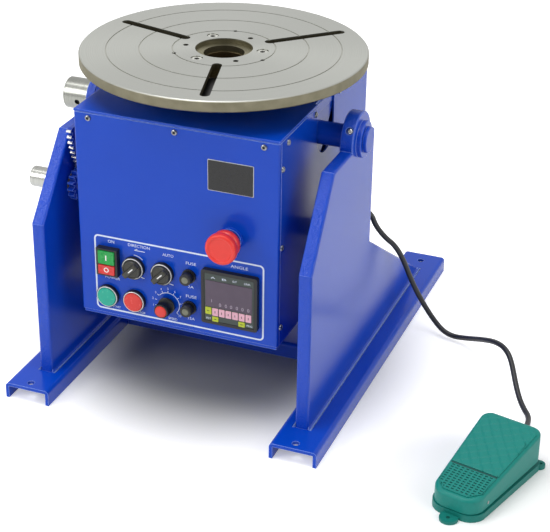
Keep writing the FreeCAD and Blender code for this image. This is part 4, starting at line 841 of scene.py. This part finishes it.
# A selector knob is a chamfered disc with a finger bar across it, in black polyamide that has
# weathered to olive. A line filled with white paint runs from its middle to the pointing end.
olive_black = speckled("olive_black_knob", "#2A2A22", "#3C3B31", 3, 0.36)
pointer_white = speckled("white_pointer_fill", "#E8E8E4", "#FFFFFF", 2, 0.4)
disc_section = [(12.0, 1.3), (12.2, 7.8), (11.9, 9.2), (11.2, 10.0), (9.8, 10.2), (9.4, 9.6),
                (1.0, 9.6)]
disc = turned_piece("selector_disc", disc_section, 56)
bar = box_in_edit("selector_bar", (25.0, 8.6, 5.2), (0, 0, 12.0))
pick_faces(bar.data, lambda centre, normal: normal.z > 0.9)
bpy.ops.transform.resize(value=(0.95, 0.8, 1), center_override=(0, 0, 14.6 * mm))
round_edges(1.5, 3)
disc.select_set(True)
bar.select_set(True)
bpy.context.view_layer.objects.active = disc
bpy.ops.object.join()
bpy.ops.object.shade_smooth_by_angle(angle=math.radians(35))
knob_turn, pointer_front = 225, 14.5
pointer_way = Vector((math.sqrt(0.5), math.sqrt(0.5)))
for label, place in (("direction", direction_place), ("mode", mode_place)):
    knob = copy_of(disc, f"{label}_knob")
    settle(knob, (0, 0, math.radians(knob_turn)), (0, 0, 0))
    finish(on_panel(knob, place), olive_black, label, "black_plastic")
    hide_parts(f"{label}_selector")
    line_spot = Vector(place) + pointer_way * 2.6
    line = ink_bar(f"{label}_pointer", 8.6, 1.4, line_spot, 45, 0.4, pointer_front)
    finish(line, pointer_white, label, "black_plastic")
bpy.data.objects.remove(disc)


# ---- Emergency stop -----------------------------------------------------------------------
# A mushroom head of glossy red nylon: a rimmed front disc over a smaller back disc, with a
# waist between them where the fingers go. The colour is strong and even, with soft highlights.
estop_red = speckled("signal_red_nylon", "#E03026", "#EE3C32", 8, 0.3, 0.06)
mushroom_section = [
    (11.4, 11.4), (16.6, 12.3), (17.4, 13.2), (17.6, 17.4), (17.0, 19.0), (15.8, 20.0), (15.5, 21.6),
    (16.4, 23.2), (18.2, 24.0), (19.2, 25.0), (19.6, 26.8), (19.6, 30.4), (19.2, 32.2), (18.3, 33.3),
    (17.0, 33.9), (15.6, 33.9), (14.6, 33.3), (14.0, 32.4), (10.0, 32.1), (5.0, 32.0), (1.0, 32.0)]
mushroom = turned_piece("estop_mushroom", mushroom_section, 72, 50)
finish(on_panel(mushroom, (70.4, 244.5)), estop_red, "estop", "red_plastic")
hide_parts("estop_button")


# ---- Power switch -------------------------------------------------------------------------
# A black snap-in frame with two square keys, green for on and red for off, each marked in
# white. The keys are glossy polycarbonate, softened and slightly hollowed for a fingertip.
key_green = speckled("green_moulded_key", "#008E38", "#04A848", 6, 0.28, 0.05)
key_red = speckled("red_moulded_key", "#D0282A", "#E03630", 6, 0.28, 0.05)
power_x, sign_front = -90.0, 9.75
power_keys = {"power_on": (182.8, 200.0, key_green, "green_plastic"),
              "power_off": (169.0, 181.2, key_red, "red_plastic")}
for label, (low, high, material, slot_name) in power_keys.items():
    key_place = (power_x, (low + high) / 2)
    key = box_in_edit(f"{label}_cap", (21.5, high - low, 16), (0, 0, 3.0))
    pick_faces(key.data, lambda centre, normal: normal.z > 0.9)
    bpy.ops.mesh.inset(thickness=2.4 * mm)
    bpy.ops.transform.translate(value=(0, 0, -0.7 * mm))
    round_edges(0.6, 2)
    bpy.ops.object.shade_smooth_by_angle(angle=math.radians(40))
    finish(on_panel(key, key_place, -0.5), material, label, slot_name)
    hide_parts(f"{label}_key")
    if label == "power_on":
        sign = ink_bar("power_on_mark", 1.6, 7.0, key_place, 0, 0.3, sign_front)
    else:
        ring_of_o = [(2.2, 0), (2.2, 0.3), (3.3, 0.3), (3.3, 0)]
        sign = on_panel(turned_ring("power_off_mark", ring_of_o, 32), key_place, sign_front)
    finish(sign, pointer_white, label, slot_name)


# ---- Fuse holders and speed knob ----------------------------------------------------------
# Bayonet fuse caps of black phenolic with a coin slot, paler on the worn face. The speed knob
# has a fluted black skirt with a red cap pressed into it.
worn_phenolic = speckled("worn_phenolic_face", "#56584A", "#8A8C78", 3, 0.45)


def every_other(angle_step, low, high):
    """A rule that picks every other wall face round the z axis, between two heights."""
    def rule(centre, normal):
        step = int(math.degrees(math.atan2(centre.y, centre.x)) // angle_step)
        return abs(normal.z) < 0.2 and low * mm < centre.z < high * mm and step % 2
    return rule


fuse_section = [(8.9, 0.1), (9.1, 1.8), (8.6, 2.6), (7.3, 2.7), (7.2, 12.4), (6.6, 13.3),
                (4.8, 13.6), (4.4, 13.2), (1.0, 13.2)]
fuse_cap = turned_piece("fuse_cap", fuse_section, 40)
bpy.ops.object.mode_set(mode="EDIT")
pick_faces(fuse_cap.data, every_other(9, 6, 11))
bpy.ops.mesh.inset(use_individual=True, thickness=0.25 * mm, depth=0.35 * mm)
bpy.ops.object.mode_set(mode="OBJECT")
fuse_face = turned_piece("fuse_face", [(4.4, 13.0), (4.3, 13.5), (3.9, 13.75), (1.0, 13.8)], 24)
for number, place in enumerate(((16.0, 184.0), (16.0, 141.0))):
    cap = on_panel(copy_of(fuse_cap, f"fuse_cap_{number + 1}"), place)
    finish(cap, black_abs, "head", "black_plastic")
    face = on_panel(copy_of(fuse_face, f"fuse_face_{number + 1}"), place)
    finish(face, worn_phenolic, "head", "black_plastic")
bpy.data.objects.remove(fuse_cap)
bpy.data.objects.remove(fuse_face)

skirt_section = [(10.6, 4.3), (11.0, 5.0), (10.9, 6.4), (10.0, 6.8), (9.5, 20.6), (9.1, 21.4),
                 (8.4, 21.8), (7.6, 21.8), (7.5, 21.3), (1.0, 21.3)]
skirt = turned_piece("speed_skirt", skirt_section, 48)
bpy.ops.object.mode_set(mode="EDIT")
pick_faces(skirt.data, every_other(7.5, 10, 18))
bpy.ops.mesh.inset(use_individual=True, thickness=0.2 * mm, depth=-0.6 * mm)
bpy.ops.object.mode_set(mode="OBJECT")
finish(on_panel(skirt, speed_place), black_abs, "speed", "black_plastic")
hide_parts("speed_knob")
red_section = [(7.4, 21.0), (7.4, 22.0), (7.1, 22.6), (6.4, 22.9), (3.0, 23.1), (0.8, 23.15)]
red_top = turned_piece("speed_red_cap", red_section, 40)
finish(on_panel(red_top, speed_place), red_cap, "speed", "red_plastic")


# ---- Counter ------------------------------------------------------------------------------
# A 72 mm panel meter. A grey-green face plate sits in the black rim, with a smoked window
# over seven digits, and rubber keys below it.
rim_proud = 5.8                        # the floor of the counter's rim, in front of the panel
face_proud = rim_proud + 0.9
window_proud = face_proud + 0.5
# Matt polyester film over the meter's front, a dark grey with some green.
meter_grey = speckled("meter_face_grey", "#35403C", "#424C47", 2.5, 0.5)
# A smoked acrylic window: glossy, dark, and a little purple from the display behind it.
smoked_window = speckled("smoked_meter_window", "#4A3D4E", "#56475A", 14, 0.16, 0.02)
# Moulded silicone keys, dull and slightly dusty.
key_lime = speckled("lime_rubber_key", "#A8B81E", "#C4CE34", 2, 0.5)
key_pink = speckled("pink_rubber_key", "#D9A0B4", "#EDBBC9", 2, 0.5)
# An unlit segment shows as a slightly paler mark behind the window.
faint_digit = speckled("unlit_digit", "#9A8C9E", "#B9ACBC", 2, 0.4)


def on_meter(piece, material):
    """Finishes a piece of the counter, which rides on the head."""
    finish(piece, material, "head", "black_plastic")


on_meter(flat_plate("meter_face", (38.6, 102.2), (132.8, 196.4), 0.9, 1.0, rim_proud), meter_grey)
on_meter(flat_plate("meter_window", (40.0, 100.2), (152.3, 187.5), 0.5, 0.8, face_proud),
         smoked_window)
for number, x in enumerate((59.1, 66.7, 73.4, 80.9, 88.1, 95.5)):
    digit = letters(f"meter_digit_{number + 1}", "0", (x, x), 156.6, 4.4, window_proud)
    on_meter(digit, faint_digit)
on_meter(letters("meter_digit_0", "1", (48.2, 48.2), 160.4, 4.0, window_proud), faint_digit)
legends = (("A", 47.0, 52.7), ("B", 61.2, 66.8), ("OUT", 74.8, 80.4), ("LINK", 89.8, 97.7))
for number, (text, low, high) in enumerate(legends):
    legend = letters(f"meter_legend_{number + 1}", text, (low, high), 191.6, 2.6, face_proud)
    on_meter(legend, white_ink)
lime_keys = [(x_range, (132.9, 139.4)) for x_range in ((49.0, 56.9), (82.8, 91.2))]
lime_keys.insert(0, ((40.0, 47.8), (141.7, 151.0)))
pink_keys = [((49.0 + 8.6 * step, 56.4 + 8.6 * step), (140.8, 150.8)) for step in range(6)]
for number, (x_range, z_range) in enumerate(lime_keys + pink_keys):
    is_lime = number < len(lime_keys)
    pad = flat_plate(f"meter_key_{number + 1}", x_range, z_range, 0.9, 0.7, face_proud)
    on_meter(pad, key_lime if is_lime else key_pink)
    mark_place = (sum(x_range) / 2, sum(z_range) / 2)
    mark = ink_bar(f"meter_key_mark_{number + 1}", 3.0, 0.8, mark_place, 0 if is_lime else 90,
                   0.15, face_proud + 0.9)
    on_meter(mark, black_abs)
for name, text, x_range in (("word_reset", "RST", (41.0, 47.0)),
                            ("word_prog", "PRG", (93.4, 100.4))):
    on_meter(letters(name, text, x_range, 135.6, 2.4, face_proud), white_ink)


# ---- Foot pedal ---------------------------------------------------------------------------
# Teal glass-filled nylon, moulded in two: a base with three fixing ears, and a treadle that
# hinges on a steel pin near the toe. The treadle's top is cross-grooved for grip, and
# its toe has rows of small hollows.

# The glass fibres leave a slightly rough skin with a broad dull shine.
pedal_teal = speckled("teal_moulded_nylon", "#047A70", "#0C867C", 2.2, 0.46, 0.25)
dress(pedal_teal, "pedal_treadle")
# The base is of the same nylon, drawn a little darker.
base_teal = speckled("teal_moulded_base", "#046E66", "#0A7A70", 2.2, 0.5, 0.25)
dress(base_teal, "pedal_base")
for teal in (pedal_teal, base_teal):
    fill(shader_of(teal), {"Specular IOR Level": 0.32})

# The pedal's own s runs from toe to heel and its n across, in millimetres from its origin.
hinge = next(joint for joint in frame["joints"] if joint["name"] == "treadle_press")
across = Vector(hinge["axis"])
pedal_yaw = math.atan2(-across.x, across.y)
heel_way = Vector((math.cos(pedal_yaw), math.sin(pedal_yaw), 0))
pin_place = Vector(hinge["pos_m"])
pin_from_origin = 14.0
pedal_origin = pin_place - heel_way * pin_from_origin * mm
pedal_origin.z = floor_z
toe_s, heel_s = -13.0, 137.0
toe_half, heel_half = 29.5, 39.5
toe_top, heel_top = 28.0, 52.0
tread_slope = math.atan2(heel_top - toe_top, heel_s - toe_s)
side_slope = math.atan2(heel_half - toe_half, heel_s - toe_s)
side_margin = 3.4                      # from the pads' sides to the treadle's
pad_toe_s, pad_heel_s = toe_s + 6.0, heel_s - 4.5
toe_corner_half, heel_corner_half = toe_half - 14, heel_half - 13
pad_height = 1.1


def on_tread(piece):
    """Lays a piece modelled flat, in the pedal's own millimetres, on the sloping treadle."""
    deselect()
    toe_edge = Vector((toe_s * mm, 0, toe_top * mm))
    piece.data.transform(Matrix.Translation((-toe_s * mm, 0, 0)))
    piece.data.transform(Matrix.Translation(toe_edge) @ Matrix.Rotation(-tread_slope, 4, "Y"))
    piece.data.transform(Matrix.Translation(pedal_origin) @ Matrix.Rotation(pedal_yaw, 4, "Z"))
    return piece


def trim(s, n, outward_s, outward_n):
    """In edit mode, cuts the grid along a line and drops what lies outside it."""
    bpy.ops.mesh.select_all(action="SELECT")
    bpy.ops.mesh.bisect(plane_co=(s * mm, n * mm, 0), plane_no=(outward_s, outward_n, 0),
                        clear_outer=True)


def trim_end(s, corner_half, way):
    """In edit mode, trims the grid square at one end of the tread, with cut-off corners."""
    trim(s, 0, way, 0)
    for side in (-1, 1):
        trim(s, side * corner_half, way * 0.7, side * 0.7)


def tread_grid(name, cells, size, turn, centre):
    """A flat grid turned on the tread and trimmed to its sides, left in edit mode."""
    deselect()
    bpy.ops.mesh.primitive_grid_add(x_subdivisions=cells[0], y_subdivisions=cells[1], size=1)
    piece = bpy.context.object
    piece.name = name
    piece.scale = (size[0] * mm, size[1] * mm, 1)
    piece.rotation_euler.z = math.radians(turn)
    piece.location.x = centre * mm
    bpy.ops.object.transform_apply()
    bpy.ops.object.mode_set(mode="EDIT")
    for side in (-1, 1):
        trim(toe_s, side * (toe_half - side_margin), -math.sin(side_slope),
             side * math.cos(side_slope))
    return piece


# A thin darker sheet lies under the pads: painted shade in the grooves between them.
groove_painted_shade_teal = speckled("groove_shade_teal", "#03433E", "#06534D", 2, 0.6, 0.2)
groove_floor = tread_grid("tread_groove_floor", (1, 1), (220, 220), 0, 88)
trim_end(pad_toe_s, toe_corner_half, -1)
trim_end(pad_heel_s, heel_corner_half, 1)
bpy.ops.mesh.select_all(action="SELECT")
extrude_up(0.12 * mm)
close_up()
finish(on_tread(groove_floor), groove_painted_shade_teal, "pedal", "teal_plastic")

# The heel's lozenges come from a turned grid, shrunk one by one and raised.
lozenges = tread_grid("tread_lozenges", (20, 20), (220, 220), 38, 88)
trim(38.5, 0, -1, 0)
trim_end(pad_heel_s, heel_corner_half, 1)
bpy.ops.mesh.select_all(action="SELECT")
bpy.ops.mesh.edge_split()
bpy.ops.mesh.select_all(action="SELECT")
bpy.ops.mesh.inset(use_individual=True, thickness=1.0 * mm)
bpy.ops.mesh.select_all(action="INVERT")
bpy.ops.mesh.delete(type="FACE")
bpy.ops.mesh.select_all(action="SELECT")
extrude_up(pad_height * mm)
bpy.ops.mesh.inset(use_individual=True, thickness=0.4 * mm, depth=0.15 * mm)
close_up()
finish(on_tread(lozenges), pedal_teal, "pedal", "teal_plastic")

# The toe pad is the other way round: a raised grid with a hollow in each cell.
toe_pad = tread_grid("toe_pad", (12, 13), (48, 78), 0, 11)
trim(36.5, 0, 1, 0)
trim_end(pad_toe_s, toe_corner_half, -1)
bpy.ops.mesh.select_all(action="SELECT")
bpy.ops.mesh.inset(use_individual=True, thickness=1.15 * mm)
bpy.ops.mesh.delete(type="FACE")
bpy.ops.mesh.select_all(action="SELECT")
extrude_up(pad_height * mm)
close_up()
finish(on_tread(toe_pad), pedal_teal, "pedal", "teal_plastic")

# The lead enters the heel through a moulded relief that thins out along it.
boot_section = [(6.2, 0), (6.2, 3.0), (5.6, 4.0), (5.5, 6.0), (5.1, 7.0), (5.0, 11.0), (4.7, 12.0),
                (4.6, 16.0), (4.3, 17.0), (4.2, 22.0), (3.75, 27.0)]
boot = turned_piece("pedal_strain_relief", boot_section, 32)
settle(boot, (0, math.pi / 2, pedal_yaw),
       pedal_origin + heel_way * heel_s * mm + Vector((0, 0, 19.0 * mm)))
finish(boot, black_rubber, "base", "cable_rubber")


# ---- Drive and electrics ------------------------------------------------------------------
# Inside the head: a gear motor under its plate, a boxed supply and a circuit board on pillars.
# Closed panels hide them, so each has a plain finish.

# Grey paint over a sand casting keeps the sand's roughness.
dress(speckled("painted_gearbox_casting", "#3A3C40", "#54565A", 4, 0.5, 0.4), "gearbox")
# Baked black enamel on the motor's drawn can.
dress(speckled("black_motor_enamel", "#141416", "#242426", 3, 0.35), "drive_motor")
# Folded galvanised sheet, mottled by its zinc crystals.
dress(speckled("galvanised_supply_box", "#8E9294", "#B6BABC", 9, 0.4, metallic=1.0), "power_supply")
# Green solder mask over glass-epoxy laminate.
dress(speckled("green_solder_mask", "#0F4A26", "#1B6B3A", 3, 0.35), "control_board")
